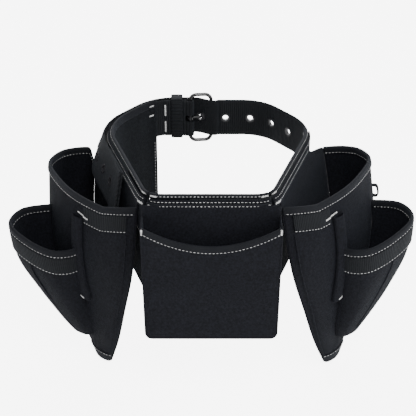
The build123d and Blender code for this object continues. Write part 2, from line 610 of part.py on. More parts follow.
def make_webbing():
    """The belt web round the waist with its folded end, and the strap end from the buckle on."""
    ring = wall(WEB_IN, WEB_OUT, -HALF_WEB, HALF_WEB)
    gap = Pos((HEEL_X + STRAP_BEND) / 2, LOOP_BACK, 0) * Box(STRAP_BEND - HEEL_X, 60, 2 * WEB_WIDTH)
    behind = Pos(HEEL_X - CHAPE_CLOSE / 2, LOOP_BACK, 0) * Box(CHAPE_CLOSE, 60, 2 * WEB_WIDTH)
    fold = wall(WEB_IN - WEB_THICK, WEB_IN, -HALF_WEB, HALF_WEB)
    fold &= Pos(HEEL_X - CHAPE_LENGTH / 2, LOOP_BACK, 0) * Box(CHAPE_LENGTH, 60, 2 * WEB_WIDTH)
    spread = WIRE / 2 + CHAPE_ROOM + WEB_THICK / 2
    rounding = Circle(spread + WEB_THICK / 2) - Circle(spread - WEB_THICK / 2)
    rounding &= Pos(WEB_WIDTH / 2, 0) * Rectangle(WEB_WIDTH, WEB_WIDTH)
    rounding = Pos(*back_point(HEEL_X, WEB_IN)) * rounding
    layers = [ribbon([back_point(HEEL_X, WEB_IN + way * spread),
                      back_point(HEEL_X - CHAPE_CLOSE, WEB_IN + way * WEB_THICK / 2)], WEB_THICK)
              for way in (1, -1)]
    chape = web_block(rounding) + web_block(layers[0]) + web_block(layers[1])
    slot = Pos(HEEL_X + 4, LOOP_BACK + WEB_IN, 0) * Box(20, 20, 2 * CHAPE_SLOT)
    web = ring - gap - behind + (fold - behind) + (chape - slot)
    pinned, strap, tail = hole_places()
    for place in strap:
        web -= eyelet_hole(place, HOLE_RADIUS + EYELET_WALL)
    parts["belt_webbing"] = web

    run = [back_point(STRAP_BEND, WEB_IN + WEB_THICK / 2),
           back_point(STRAP_BEND - 2, WEB_IN + WEB_THICK / 2), back_point(BAR_X + 4, STRAP_LOW),
           STEEP_START, STEEP_END, back_point(-TAIL_START, TAIL_MID)]
    end = web_block(ribbon(run, WEB_THICK))
    length = TAIL_RUN + WEB_WIDTH - TAIL_START
    stops = [TAIL_START + length * i / TAIL_STEPS for i in range(TAIL_STEPS + 1)]
    for first, second in zip(stops, stops[1:]):
        end += loft([tail_section(first), tail_section(second)], ruled=True)
    hem_stops = [s for s in stops if s > TAIL_RUN - 2 * TAIL_HEM - 10]
    hem = loft([tail_section(hem_stops[0], WEB_THICK, WEB_THICK),
                tail_section(hem_stops[-1], WEB_THICK, WEB_THICK)], ruled=True)
    slant = tail_place(TAIL_RUN) * Rot(0, 0, TAIL_SLANT)
    beyond = slant * Pos(0, -WEB_WIDTH, 0) * Box(3 * WEB_WIDTH, 2 * WEB_WIDTH, WEB_WIDTH)
    hem_zone = slant * Pos(0, TAIL_HEM / 2, 0) * Box(3 * WEB_WIDTH, TAIL_HEM, WEB_WIDTH)
    end = (end - beyond) + (hem & hem_zone)
    for place in [pinned] + tail:
        end -= eyelet_hole(place, HOLE_RADIUS + EYELET_WALL)
    parts["belt_tail"] = end

    collars = []
    for place in [pinned] + strap + tail:
        tube = Cylinder(HOLE_RADIUS + EYELET_WALL, WEB_THICK)
        lips = Cylinder(EYELET_RADIUS, WEB_THICK + 2 * EYELET_LIP) - Cylinder(EYELET_RADIUS + 1, WEB_THICK)
        collars.append(place * (tube + lips - Cylinder(HOLE_RADIUS, 3 * WEB_THICK)))
    parts["belt_eyelets"] = Compound(children=collars)


def make_buckle():
    """Wire frame, prong and the web keeper."""
    heel = Vector(HEEL_X, LOOP_BACK + WEB_IN, 0)
    swing = degrees(atan2(FRAME_OUT, FRAME_LENGTH))
    reach = hypot(FRAME_OUT, FRAME_LENGTH)
    frame_place = Plane(origin=heel, x_dir=(cos(radians(swing)), sin(radians(swing)), 0),
                        z_dir=(sin(radians(swing)), -cos(radians(swing)), 0)).location
    path = Pos(reach / 2, 0) * RectangleRounded(reach, FRAME_HEIGHT, FRAME_CORNER)
    wire = path.wire()
    start = wire.position_at(0)
    frame = sweep(Plane(origin=start, z_dir=wire.tangent_at(0)) * Circle(WIRE / 2), path=wire)
    parts["buckle_frame"] = frame_place * frame

    rise = FRAME_OUT + WIRE / 2 + PRONG_LIFT + PRONG_WIRE / 2
    angle = degrees(atan2(rise, FRAME_LENGTH))
    length = hypot(rise, FRAME_LENGTH) + PRONG_PAST
    inner = WIRE / 2 + RUNNING
    eye = Cylinder(inner + EYE_WALL, PRONG_WIRE)
    tongue = Pos(length / 2, 0, 0) * Cylinder(PRONG_WIRE / 2, length, rotation=(0, 90, 0))
    tip = Pos(length, 0, 0) * Sphere(PRONG_WIRE / 2)
    prong = (eye + tongue + tip) - Cylinder(inner, 4 * PRONG_WIRE)
    parts["buckle_prong"] = Pos(heel) * Rot(0, 0, angle) * prong

    low = WEB_IN - WEB_THICK - KEEPER_ROOM
    high = TAIL_IN + WEB_THICK + KEEPER_ROOM
    tall = WEB_WIDTH + 2 * KEEPER_ROOM
    middle = LOOP_BACK + (low + high) / 2
    outside = Box(KEEPER_WIDTH, high - low + 2 * KEEPER_THICK, tall + 2 * KEEPER_THICK)
    opening = Box(2 * KEEPER_WIDTH, high - low, tall)
    parts["belt_keeper"] = Pos(KEEPER_X, middle, 0) * (outside - opening)


make_pads()
make_hanger_bands()
make_webbing()
make_buckle()
make_side_pouch("left", LEFT_LEAN)
make_side_pouch("right", RIGHT_LEAN)
make_centre_pouch()

for name, shape in parts.items():
    export_step(shape if isinstance(shape, Compound) else Part(children=[shape]), f"parts/{name}.step")
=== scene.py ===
"""Cloth, webbing, stitching and finishes of a carpenter's tool belt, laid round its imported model."""

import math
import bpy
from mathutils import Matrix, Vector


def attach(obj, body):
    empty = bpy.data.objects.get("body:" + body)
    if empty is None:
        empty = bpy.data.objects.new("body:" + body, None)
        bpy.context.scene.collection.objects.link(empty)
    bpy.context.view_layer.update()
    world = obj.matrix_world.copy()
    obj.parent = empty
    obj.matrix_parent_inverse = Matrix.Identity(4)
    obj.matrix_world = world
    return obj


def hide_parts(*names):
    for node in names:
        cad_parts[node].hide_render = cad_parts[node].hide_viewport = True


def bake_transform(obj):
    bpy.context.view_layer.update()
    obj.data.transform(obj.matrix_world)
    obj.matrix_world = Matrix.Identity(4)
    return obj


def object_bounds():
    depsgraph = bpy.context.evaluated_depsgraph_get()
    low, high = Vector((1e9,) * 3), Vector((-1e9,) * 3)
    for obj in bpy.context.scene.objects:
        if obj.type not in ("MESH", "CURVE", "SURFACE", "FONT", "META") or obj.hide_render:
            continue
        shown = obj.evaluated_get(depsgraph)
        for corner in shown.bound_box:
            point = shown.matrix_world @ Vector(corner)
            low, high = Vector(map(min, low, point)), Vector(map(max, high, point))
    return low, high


bl_info = {
    "name": "Carpenter's tool belt",
    "version": (1, 0, 0),
    "blender": (4, 5, 0),
    "location": "View3D > Sidebar > Tool belt",
    "description": "Builds the pouches, hip pads, webbing and stitching of a tool belt",
    "category": "Object",
}

import bmesh
import bpy
from mathutils import Matrix, Vector, noise
from mathutils.bvhtree import BVHTree

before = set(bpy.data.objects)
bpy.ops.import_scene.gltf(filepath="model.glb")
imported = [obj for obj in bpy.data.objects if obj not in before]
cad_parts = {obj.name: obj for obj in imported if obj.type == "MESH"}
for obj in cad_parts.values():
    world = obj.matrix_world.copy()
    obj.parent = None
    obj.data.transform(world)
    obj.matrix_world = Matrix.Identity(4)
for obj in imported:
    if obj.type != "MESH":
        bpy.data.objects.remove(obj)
cad_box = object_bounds()

MM = 0.001
CUT_REACH = 0.09                    # how far from its point a trimming cut acts, in metres

# ---- The waist loop and the layers on it, in millimetres, as in the model --------------------
LOOP_FRONT, LOOP_BACK = 122.0, 125.0
FRONT_HALF, SIDE_HALF, SIDE_Y, BACK_HALF = 68.0, 124.0, 52.0, 66.0
LOOP_STOPS = [(0.0, LOOP_BACK), (BACK_HALF, LOOP_BACK), (SIDE_HALF, SIDE_Y),
              (FRONT_HALF, -LOOP_FRONT), (0.0, -LOOP_FRONT)]
LOOP_RADII = [50.0, 75.0, 22.0]
HALF_WEB = 25.0
WEB_MID = 3.9                       # the belt web's middle, outward from the loop
COVER_MID, BAND_MID, LEAF_MID = 6.3, 8.4, 8.6
TAIL_MID = 11.4
HEEL_X, HEEL_Y = -24.0, 127.5       # the buckle's heel bar, which the web folds round
HEEL_WRAP = 3.9                     # radius of that fold, to the web's middle
KEEPER_X, KEEPER_WIDTH = -41.0, 15.0
TAIL_RUN, TAIL_LEAN, TAIL_LEAN_FROM, TAIL_LEAN_TO = 303.0, 19.0, 55.0, 140.0
TAIL_SLANT, TAIL_HEM = -28.0, 24.0  # slant of the folded end in degrees, and its hem's depth
HOLE_RADIUS = 4.1                   # of the holes punched for the eyelets
PAD_TOP, COVER_TOP, BAND_TOP, HINGE_Z = 28.0, 24.0, 20.0, 10.0
PAD_FOOT = {"left": -110.0, "centre": -70.0, "right": -110.0}
FRONT_CORNER = math.degrees(math.atan2(-LOOP_FRONT, FRONT_HALF))

# ---- Side pouches, in their own frame: u to the rear, w outward, z up from the hinge ---------
SIDE_LENGTH, SIDE_DEPTH, SIDE_TIP = 190.0, 66.0, 260.0
SIDE_OUTLINE = [(0.0, 0.0), (0.04, 0.24), (0.14, 0.50), (0.37, 0.85), (0.61, 1.0), (0.82, 1.0),
                (0.96, 0.70), (1.0, 0.36), (0.99, 0.0)]
SIDE_LEVELS = [(0.0, 0.0, 1.0, 1.0), (0.33, 0.005, 0.99, 0.97), (0.60, 0.12, 0.87, 0.78),
               (0.81, 0.22, 0.69, 0.48), (1.0, 0.36, 0.49, 0.17)]
SIDE_RIM = [(0.0, -5.0), (26.0, -15.0), (190.0, -20.0)]
SMALL_FRONT, SMALL_LENGTH = {"left": 48.0, "right": 40.0}, {"left": 87.0, "right": 95.0}
SMALL_BASE, SMALL_DEPTH = {"left": 42.0, "right": 39.0}, {"left": 84.0, "right": 87.0}
SMALL_TOP, SMALL_HEIGHT = 60.0, 158.0
SMALL_OUTLINE = [(0.10, 0.0), (0.0, 0.28), (0.04, 0.56), (0.34, 0.86), (0.68, 1.0), (0.94, 0.78),
                 (1.0, 0.44), (0.97, 0.0)]
SMALL_LEVELS = [(0.0, 0.0, 1.0, 1.0, 1.0), (0.36, 0.04, 0.95, 1.0, 0.85),
                (0.63, 0.08, 0.84, 0.86, 0.625), (0.87, 0.14, 0.63, 0.62, 0.41),
                (1.0, 0.24, 0.48, 0.50, 0.27)]
SMALL_MOUTH = (-83.0, -66.0)
LEAN = {"left": 5.0, "right": 10.0}
RIM_DEPTH, STITCH_DROP = 9.0, 7.4   # the edge tape over a mouth, and its stitch line's drop
SIDE_BAND, SMALL_BAND = 22.0, 24.0  # depth of the web bands under the rims
TIP_CAP, CAP_STITCH = 16.0, 13.8
SLEEVE_TOP, SLEEVE_LONG, SLEEVE_TURN = 39.0, 115.0, 29.0
HINGE_SPAN = {"left": 118.0, "right": 132.0}
REAR_DROP = {"left": 50.0, "right": 20.0}
BAND_END = {"left": 50.0, "right": 40.0}

# ---- Centre pouch ----------------------------------------------------------------------------
CENTRE_WALL, CENTRE_FRONT, CENTRE_FLOOR, CENTRE_SHIFT = -131.6, -157.6, -141.0, 2.5
CENTRE_HALF, CENTRE_FOOT_HALF, CENTRE_CORNER = 77.5, 74.5, 7.0
CENTRE_RIM_SIDE, CENTRE_SCOOP = 4.0, 29.0


# ---- Settings that a user may change ---------------------------------------------------------
def length(name, text, default):
    """A length setting in metres."""
    return bpy.props.FloatProperty(name=name, description=text, default=default, min=0.0,
                                   unit="LENGTH", precision=4)


def colour(name, text, default):
    """A colour setting."""
    return bpy.props.FloatVectorProperty(name=name, description=text, default=default, size=3,
                                         min=0.0, max=1.0, subtype="COLOR")


class ToolBeltSizes(bpy.types.PropertyGroup):
    """Sizes of the sewn work."""
    cloth: length("Cloth", "Thickness of the pouch cloth", 0.002)
    binding: length("Binding", "Thickness of the edge tape", 0.0012)
    rim: length("Rim", "Depth of the edge tape on a pouch mouth", 0.009)
    web: length("Web", "Thickness of the belt webbing", 0.0028)
    rib: length("Rib", "Spacing of the ribs across the webbing", 0.0026)
    thread: length("Thread", "Thickness of the topstitching thread", 0.00075)
    stitch: length("Stitch", "Length of one stitch from hole to hole", 0.0042)
    crease: length("Crease", "How far the pouch cloth waves in and out", 0.0016)


class ToolBeltColours(bpy.types.PropertyGroup):
    """Colours of the finishes."""
    cloth: colour("Cloth", "Pouch cloth", (0.0034, 0.0037, 0.0058))
    lining: colour("Lining", "Lining of the hip pads", (0.0032, 0.0040, 0.0052))
    webbing: colour("Webbing", "Ribbed webbing", (0.0042, 0.0048, 0.0058))
    tape: colour("Tape", "Edge tape", (0.0038, 0.0042, 0.0056))
    thread: colour("Thread", "Topstitching and bar tacks", (0.62, 0.61, 0.60))
    metal: colour("Metal", "Enamelled wire of the buckle", (0.008, 0.008, 0.009))
    floor: colour("Floor", "Floor and backdrop", (0.93, 0.93, 0.93))


def sizes():
    """The size settings."""
    return bpy.context.scene.tool_belt_sizes


def colours():
    """The colour settings."""
    return bpy.context.scene.tool_belt_colours


# ---- Curves ----------------------------------------------------------------------------------
def chord_keys(points, wide, deep):
    """Shares of the way along an outline at each of its points."""
    keys = [0.0]
    for (u0, w0), (u1, w1) in zip(points, points[1:]):
        keys.append(keys[-1] + math.hypot((u1 - u0) * wide, (w1 - w0) * deep))
    return [key / keys[-1] for key in keys]


def smooth_through(keys, rows, key):
    """Rows of numbers joined by a smooth curve, read at a key."""
    key = min(max(key, keys[0]), keys[-1])
    i = max([j for j in range(len(keys) - 1) if keys[j] <= key])
    gap = keys[i + 1] - keys[i]
    share = (key - keys[i]) / gap
    values = []
    for column in range(len(rows[0])):
        slopes = []
        for j in (i, i + 1):
            low, high = max(j - 1, 0), min(j + 1, len(keys) - 1)
            slopes.append((rows[high][column] - rows[low][column]) / (keys[high] - keys[low]) * gap)
        a, b = rows[i][column], rows[i + 1][column]
        s2, s3 = share * share, share ** 3
        values.append((2 * s3 - 3 * s2 + 1) * a + (s3 - 2 * s2 + share) * slopes[0]
                      + (3 * s2 - 2 * s3) * b + (s3 - s2) * slopes[1])
    return values


def straight_through(points, key):
    """A broken line read at a key."""
    for (k0, v0), (k1, v1) in zip(points, points[1:]):
        if key <= k1:
            return v0 + (v1 - v0) * max(key - k0, 0.0) / (k1 - k0)
    return points[-1][1]


def ease(low, high, value):
    """A smooth step from 0 to 1."""
    share = min(max((value - low) / (high - low), 0.0), 1.0)
    return share * share * (3 - 2 * share)


def steps(count, start=0.0, end=1.0):
    """Evenly spaced numbers."""
    return [start + (end - start) * i / count for i in range(count + 1)]


# ---- The loop round the waist ----------------------------------------------------------------
def loop_runs():
    """Straight runs, fillet radii and turns from the middle of the back to the front."""
    runs, used = [], 0.0
    for i, (first, second) in enumerate(zip(LOOP_STOPS, LOOP_STOPS[1:])):
        run = math.hypot(second[0] - first[0], second[1] - first[1])
        if i < len(LOOP_RADII):
            third = LOOP_STOPS[i + 2]
            turn = math.atan2(second[1] - first[1], second[0] - first[0])
            turn -= math.atan2(third[1] - second[1], third[0] - second[0])
            turn = abs((math.degrees(turn) + 180) % 360 - 180)
            share = math.tan(math.radians(turn) / 2) * LOOP_RADII[i]
            runs.append((run - used - share, LOOP_RADII[i], math.radians(turn)))
            used = share
        else:
            runs.append((run - used, 0.0, 0.0))
    return runs


RUNS = loop_runs()
HALF_LOOP = sum(run + radius * turn for run, radius, turn in RUNS)


def loop_at(distance, out=0.0):
    """Plan point and outward direction at a distance round the loop, from the back over +X."""
    distance %= 2 * HALF_LOOP
    side = 1
    if distance > HALF_LOOP:
        distance, side = 2 * HALF_LOOP - distance, -1
    x, y, heading = 0.0, LOOP_BACK, 0.0
    for run, radius, turn in RUNS:
        step = min(distance, run)
        x += step * math.cos(heading)
        y += step * math.sin(heading)
        distance -= step
        if distance <= 0 or not radius:
            break
        swing = min(distance / radius, turn)
        cx, cy = x + radius * math.sin(heading), y - radius * math.cos(heading)
        heading -= swing
        x, y = cx - radius * math.sin(heading), cy + radius * math.cos(heading)
        distance -= radius * turn
        if distance <= 0:
            break
    normal = Vector((-side * math.sin(heading), math.cos(heading), 0.0))
    return Vector((side * x, y, 0.0)) + normal * out, normal


def loop_distance(angle):
    """Distance round the loop of a plan angle in degrees, from the back over +X."""
    target = (90.0 - angle) % 360
    low, high = 0.0, 2 * HALF_LOOP
    for _ in range(40):
        mid = (low + high) / 2
        point, _ = loop_at(mid)
        turned = (90.0 - math.degrees(math.atan2(point.y, point.x))) % 360
        low, high = (mid, high) if turned < target else (low, mid)
    return low


PAD_SPANS = {
    "right": (loop_distance(21.0), loop_distance(FRONT_CORNER + 0.25)),
    "centre": (loop_distance(FRONT_CORNER - 0.25), loop_distance(180.25 - FRONT_CORNER)),
    "left": (loop_distance(179.75 - FRONT_CORNER), loop_distance(119.0)),
}
BAND_SPANS = {
    "right": (loop_distance(4.0), PAD_SPANS["right"][1]),
    "centre": PAD_SPANS["centre"],
    "left": (PAD_SPANS["left"][0], loop_distance(176.0)),
}


# ---- Mesh helpers ----------------------------------------------------------------------------
def finish_piece(bm, name, body, finish, slot, nodes=(), thick=0.0, rounds=1):
    """Makes a piece of a bmesh: named, ridden, in its finish, with its cloth thickness."""
    mesh = bpy.data.meshes.new(name)
    bm.to_mesh(mesh)
    bm.free()
    piece = bpy.data.objects.new(name, mesh)
    bpy.context.scene.collection.objects.link(piece)
    mesh.shade_smooth()
    mesh.materials.append(bpy.data.materials[finish])
    if thick:
        wall = piece.modifiers.new("Thickness", "SOLIDIFY")
        wall.thickness = thick
        wall.offset = 0.0
        wall.use_even_offset = False
    if rounds:
        soft = piece.modifiers.new("Softness", "SUBSURF")
        soft.levels = soft.render_levels = rounds
    if body:
        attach(piece, body)
    if nodes:
        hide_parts(*nodes)
    return piece


def cloth_sheet(name, columns, rows, shape, size, cuts=(), closed=False, **rest):
    """A grid of cloth bent to a shape given over its two shares; size is its real width and depth.

    Each cut is a point and a normal: the cloth near the point and past it is trimmed away."""
    bm = bmesh.new()
    bmesh.ops.create_grid(bm, x_segments=columns, y_segments=rows, size=0.5)
    layer = bm.loops.layers.uv.new("Cloth")
    for face in bm.faces:
        for loop in face.loops:
            x, y = loop.vert.co.x + 0.5, loop.vert.co.y + 0.5
            loop[layer].uv = (x * size[0], y * size[1])
    for vert in bm.verts:
        vert.co = shape(vert.co.x + 0.5, vert.co.y + 0.5)
    for point, normal in cuts:
        faces = [f for f in bm.faces if (f.calc_center_median() - point).length < CUT_REACH]
        edges = {e for f in faces for e in f.edges}
        verts = {v for f in faces for v in f.verts}
        bmesh.ops.bisect_plane(bm, geom=list(verts) + list(edges) + faces, dist=1e-6,
                               plane_co=point, plane_no=normal, clear_outer=True)
    if closed:
        bmesh.ops.remove_doubles(bm, verts=bm.verts, dist=1e-5)
    return finish_piece(bm, name, **rest)


def strip(name, stations, width, rows=6, **rest):
    """A band along stations, each a middle point and the direction across it, in millimetres."""
    count = len(stations) - 1
    run = sum((b[0] - a[0]).length for a, b in zip(stations, stations[1:])) * MM

    def shape(x, y):
        middle, across = stations[round(x * count)]
        return (middle + across * (y - 0.5) * width) * MM

    return cloth_sheet(name, count, rows, shape, (run, width * MM), **rest)


def welt(name, path, radius, **rest):
    """A thin round welt or piping along a path in metres, made of rings joined end to end."""
    bm = bmesh.new()
    rings = []
    for i, point in enumerate(path):
        along = (path[min(i + 1, len(path) - 1)] - path[max(i - 1, 0)]).normalized()
        turn = along.to_track_quat("Z", "Y").to_matrix().to_4x4()
        made = bmesh.ops.create_circle(bm, segments=8, radius=radius,
                                       matrix=Matrix.Translation(point) @ turn)
        rings.append(made["verts"])
    edges = [[e for e in bm.edges if e.verts[0] in ring and e.verts[1] in ring]
             for ring in [set(r) for r in rings]]
    for first, second in zip(edges, edges[1:]):
        bmesh.ops.bridge_loops(bm, edges=first + second)
    bmesh.ops.contextual_create(bm, geom=edges[0])
    bmesh.ops.contextual_create(bm, geom=edges[-1])
    bmesh.ops.recalc_face_normals(bm, faces=bm.faces)
    return finish_piece(bm, name, rounds=0, **rest)


# ---- Stitching -------------------------------------------------------------------------------
def walk(path, pitch):
    """Points and directions at an even pitch along a path."""
    found, left = [], pitch / 2
    for a, b in zip(path, path[1:]):
        span = (b - a).length
        while span and left <= span:
            found.append((a.lerp(b, left / span), (b - a).normalized()))
            left += pitch
        left -= span
    return found


def sew(name, cloth, paths, body, tacks=()):
    """Topstitching along paths, and bar tacks, pressed onto a piece of cloth."""
    graph = bpy.context.evaluated_depsgraph_get()
    trees = [BVHTree.FromObject(piece, graph) for piece in cloth]
    thread, pitch = sizes().thread, sizes().stitch
    bm = bmesh.new()

    def lay(point, along, long, wide):
        best = min((tree.find_nearest(point) for tree in trees), key=lambda hit: hit[3])
        spot, normal = best[0], best[1]
        if normal.dot(point - spot) < 0:
            normal = -normal
        across = normal.cross(along).normalized()
        ahead = across.cross(normal).normalized()
        turn = Matrix((ahead, across, normal)).transposed().to_4x4()
        place = Matrix.Translation(spot + normal * wide * 0.15) @ turn
        place = place @ Matrix.Diagonal((long, wide, wide * 0.7, 1.0))
        bmesh.ops.create_uvsphere(bm, u_segments=6, v_segments=4, radius=0.5, matrix=place)

    for path in paths:
        for point, along in walk(path, pitch):
            lay(point, along, pitch * 0.66, thread)
    for start, end, wide in tacks:
        run = end - start
        count = max(int(run.length / (thread * 0.9)), 3)
        for i in range(count):
            point = start + run * (i + 0.5) / count
            best = min((tree.find_nearest(point) for tree in trees), key=lambda hit: hit[3])
            across = best[1].cross(run).normalized() + run.normalized() * 0.25
            lay(point, across, wide, thread * 1.4)
    return finish_piece(bm, name, body, "Thread", "edge_tape", rounds=0)


# ---- Finishes --------------------------------------------------------------------------------
def new_group(name, inputs, outputs):
    """An empty shader node group with named sockets."""
    group = bpy.data.node_groups.new(name, "ShaderNodeTree")
    for label, kind, default in inputs:
        socket = group.interface.new_socket(label, in_out="INPUT", socket_type=kind)
        socket.default_value = default
    for label, kind in outputs:
        group.interface.new_socket(label, in_out="OUTPUT", socket_type=kind)
    return group, group.nodes.new("NodeGroupInput"), group.nodes.new("NodeGroupOutput")


def sums(tree, kind, first, second=None, third=None):
    """A Math node fed by sockets or plain numbers."""
    node = tree.nodes.new("ShaderNodeMath")
    node.operation = kind
    for i, value in enumerate((first, second, third)):
        if value is None:
            continue
        if isinstance(value, (int, float)):
            node.inputs[i].default_value = value
        else:
            tree.links.new(value, node.inputs[i])
    return node.outputs[0]


def weave_group():
    """Plain weave: warp and weft threads that pass over and under each other."""
    group, into, out = new_group("Plain weave", [("Threads per metre", "NodeSocketFloat", 900.0)],
                                 [("Height", "NodeSocketFloat"), ("Tone", "NodeSocketFloat")])
    place = group.nodes.new("ShaderNodeTexCoord")
    split = group.nodes.new("ShaderNodeSeparateXYZ")
    group.links.new(place.outputs["UV"], split.inputs[0])
    waves = []
    for axis in ("X", "Y"):
        angle = sums(group, "MULTIPLY", split.outputs[axis], into.outputs[0])
        waves.append(sums(group, "SINE", sums(group, "MULTIPLY", angle, math.pi)))
    over = sums(group, "MULTIPLY", waves[0], waves[1])
    over = sums(group, "MULTIPLY_ADD", over, 0.5, 0.5)
    group.links.new(over, out.inputs["Height"])
    blotch = group.nodes.new("ShaderNodeTexNoise")
    blotch.inputs["Scale"].default_value = 420.0
    blotch.inputs["Detail"].default_value = 3.0
    blotch.inputs["Roughness"].default_value = 0.7
    group.links.new(place.outputs["Object"], blotch.inputs["Vector"])
    slub = sums(group, "MULTIPLY_ADD", blotch.outputs["Fac"], 3.2, -1.25)
    tone = sums(group, "MULTIPLY_ADD", slub, 0.65, sums(group, "MULTIPLY", over, 0.35))
    group.links.new(tone, out.inputs["Tone"])
    return group


def rib_group():
    """Ribbed webbing: ribs across the band with a fine weave on them."""
    group, into, out = new_group("Ribbed web", [("Ribs per metre", "NodeSocketFloat", 385.0)],
                                 [("Height", "NodeSocketFloat"), ("Tone", "NodeSocketFloat")])
    place = group.nodes.new("ShaderNodeTexCoord")
    split = group.nodes.new("ShaderNodeSeparateXYZ")
    group.links.new(place.outputs["UV"], split.inputs[0])
    turn = sums(group, "MULTIPLY", sums(group, "MULTIPLY", split.outputs["X"], into.outputs[0]), math.pi)
    rib = sums(group, "ABSOLUTE", sums(group, "SINE", turn))
    fine = sums(group, "SINE", sums(group, "MULTIPLY", split.outputs["Y"], 6500.0))
    height = sums(group, "MULTIPLY_ADD", fine, 0.12, rib)
    group.links.new(height, out.inputs["Height"])
    blotch = group.nodes.new("ShaderNodeTexNoise")
    blotch.inputs["Scale"].default_value = 45.0
    blotch.inputs["Detail"].default_value = 3.0
    group.links.new(place.outputs["Object"], blotch.inputs["Vector"])
    tone = sums(group, "MULTIPLY_ADD", rib, 0.55, sums(group, "MULTIPLY", blotch.outputs["Fac"], 0.45))
    group.links.new(tone, out.inputs["Tone"])
    return group


def lint_group():
    """A little lint and handling wear: pale specks and soft patches."""
    group, into, out = new_group("Lint and handling", [("Amount", "NodeSocketFloat", 0.3)],
                                 [("Mask", "NodeSocketFloat")])
    place = group.nodes.new("ShaderNodeTexCoord")
    specks = group.nodes.new("ShaderNodeTexNoise")
    specks.inputs["Scale"].default_value = 900.0
    specks.inputs["Detail"].default_value = 1.0
    group.links.new(place.outputs["Object"], specks.inputs["Vector"])
    patches = group.nodes.new("ShaderNodeTexNoise")
    patches.inputs["Scale"].default_value = 18.0
    patches.inputs["Detail"].default_value = 5.0
    group.links.new(place.outputs["Object"], patches.inputs["Vector"])
    dots = sums(group, "GREATER_THAN", specks.outputs["Fac"], 0.72)
    mask = sums(group, "MULTIPLY_ADD", dots, 0.35, sums(group, "MULTIPLY", patches.outputs["Fac"], 0.6))
    group.links.new(sums(group, "MULTIPLY", mask, into.outputs[0]), out.inputs["Mask"])
    return group


def fabric_finish(name, base, pattern, value, relief, rough, sheen, lint):
    """A fabric in one colour with a woven pattern, its relief, lint and a soft sheen."""
    material = bpy.data.materials.new(name)
    material.use_nodes = True
    tree = material.node_tree
    shader = tree.nodes["Principled BSDF"]
    shader.inputs["Specular IOR Level"].default_value = 0.13
    shader.inputs["Sheen Weight"].default_value = sheen
    shader.inputs["Sheen Roughness"].default_value = 0.45
    shader.inputs["Sheen Tint"].default_value = (0.72, 0.82, 1.0, 1.0)
    weave = tree.nodes.new("ShaderNodeGroup")
    weave.node_tree = bpy.data.node_groups[pattern]
    weave.inputs[0].default_value = value
    wear = tree.nodes.new("ShaderNodeGroup")
    wear.node_tree = bpy.data.node_groups["Lint and handling"]
    wear.inputs[0].default_value = lint
    tint = tree.nodes.new("ShaderNodeMix")
    tint.data_type = "RGBA"
    tint.inputs["A"].default_value = [c * 0.30 for c in base] + [1.0]
    tint.inputs["B"].default_value = [min(c * 2.4, 1.0) for c in base] + [1.0]
    tree.links.new(weave.outputs["Tone"], tint.inputs["Factor"])
    dust = tree.nodes.new("ShaderNodeMix")
    dust.data_type = "RGBA"
    dust.inputs["B"].default_value = [min(c * 2.2 + 0.006, 1.0) for c in base] + [1.0]
    tree.links.new(wear.outputs["Mask"], dust.inputs["Factor"])
    tree.links.new(tint.outputs["Result"], dust.inputs["A"])
    tree.links.new(dust.outputs["Result"], shader.inputs["Base Color"])
    tree.links.new(sums(tree, "MULTIPLY_ADD", weave.outputs["Tone"], -0.18, rough + 0.09),
                   shader.inputs["Roughness"])
    bump = tree.nodes.new("ShaderNodeBump")
    bump.inputs["Strength"].default_value = 0.9
    bump.inputs["Distance"].default_value = relief
    tree.links.new(weave.outputs["Height"], bump.inputs["Height"])
    tree.links.new(bump.outputs["Normal"], shader.inputs["Normal"])
    return material


def enamel_finish(name, base, rough, coat):
    """Enamelled metal with faint orange peel and worn spots."""
    material = bpy.data.materials.new(name)
    material.use_nodes = True
    tree = material.node_tree
    shader = tree.nodes["Principled BSDF"]
    shader.inputs["Coat Weight"].default_value = coat
    shader.inputs["Coat Roughness"].default_value = 0.12
    wear = tree.nodes.new("ShaderNodeGroup")
    wear.node_tree = bpy.data.node_groups["Lint and handling"]
    wear.inputs[0].default_value = 0.5
    mix = tree.nodes.new("ShaderNodeMix")
    mix.data_type = "RGBA"
    mix.inputs["A"].default_value = list(base) + [1.0]
    mix.inputs["B"].default_value = [c * 2.2 + 0.006 for c in base] + [1.0]
    tree.links.new(wear.outputs["Mask"], mix.inputs["Factor"])
    tree.links.new(mix.outputs["Result"], shader.inputs["Base Color"])
    tree.links.new(sums(tree, "MULTIPLY_ADD", wear.outputs["Mask"], 0.25, rough),
                   shader.inputs["Roughness"])
    place = tree.nodes.new("ShaderNodeTexCoord")
    peel = tree.nodes.new("ShaderNodeTexNoise")
    peel.inputs["Scale"].default_value = 700.0
    tree.links.new(place.outputs["Object"], peel.inputs["Vector"])
    bump = tree.nodes.new("ShaderNodeBump")
    bump.inputs["Strength"].default_value = 0.25
    bump.inputs["Distance"].default_value = 0.0001
    tree.links.new(peel.outputs["Fac"], bump.inputs["Height"])
    tree.links.new(bump.outputs["Normal"], shader.inputs["Normal"])
    return material


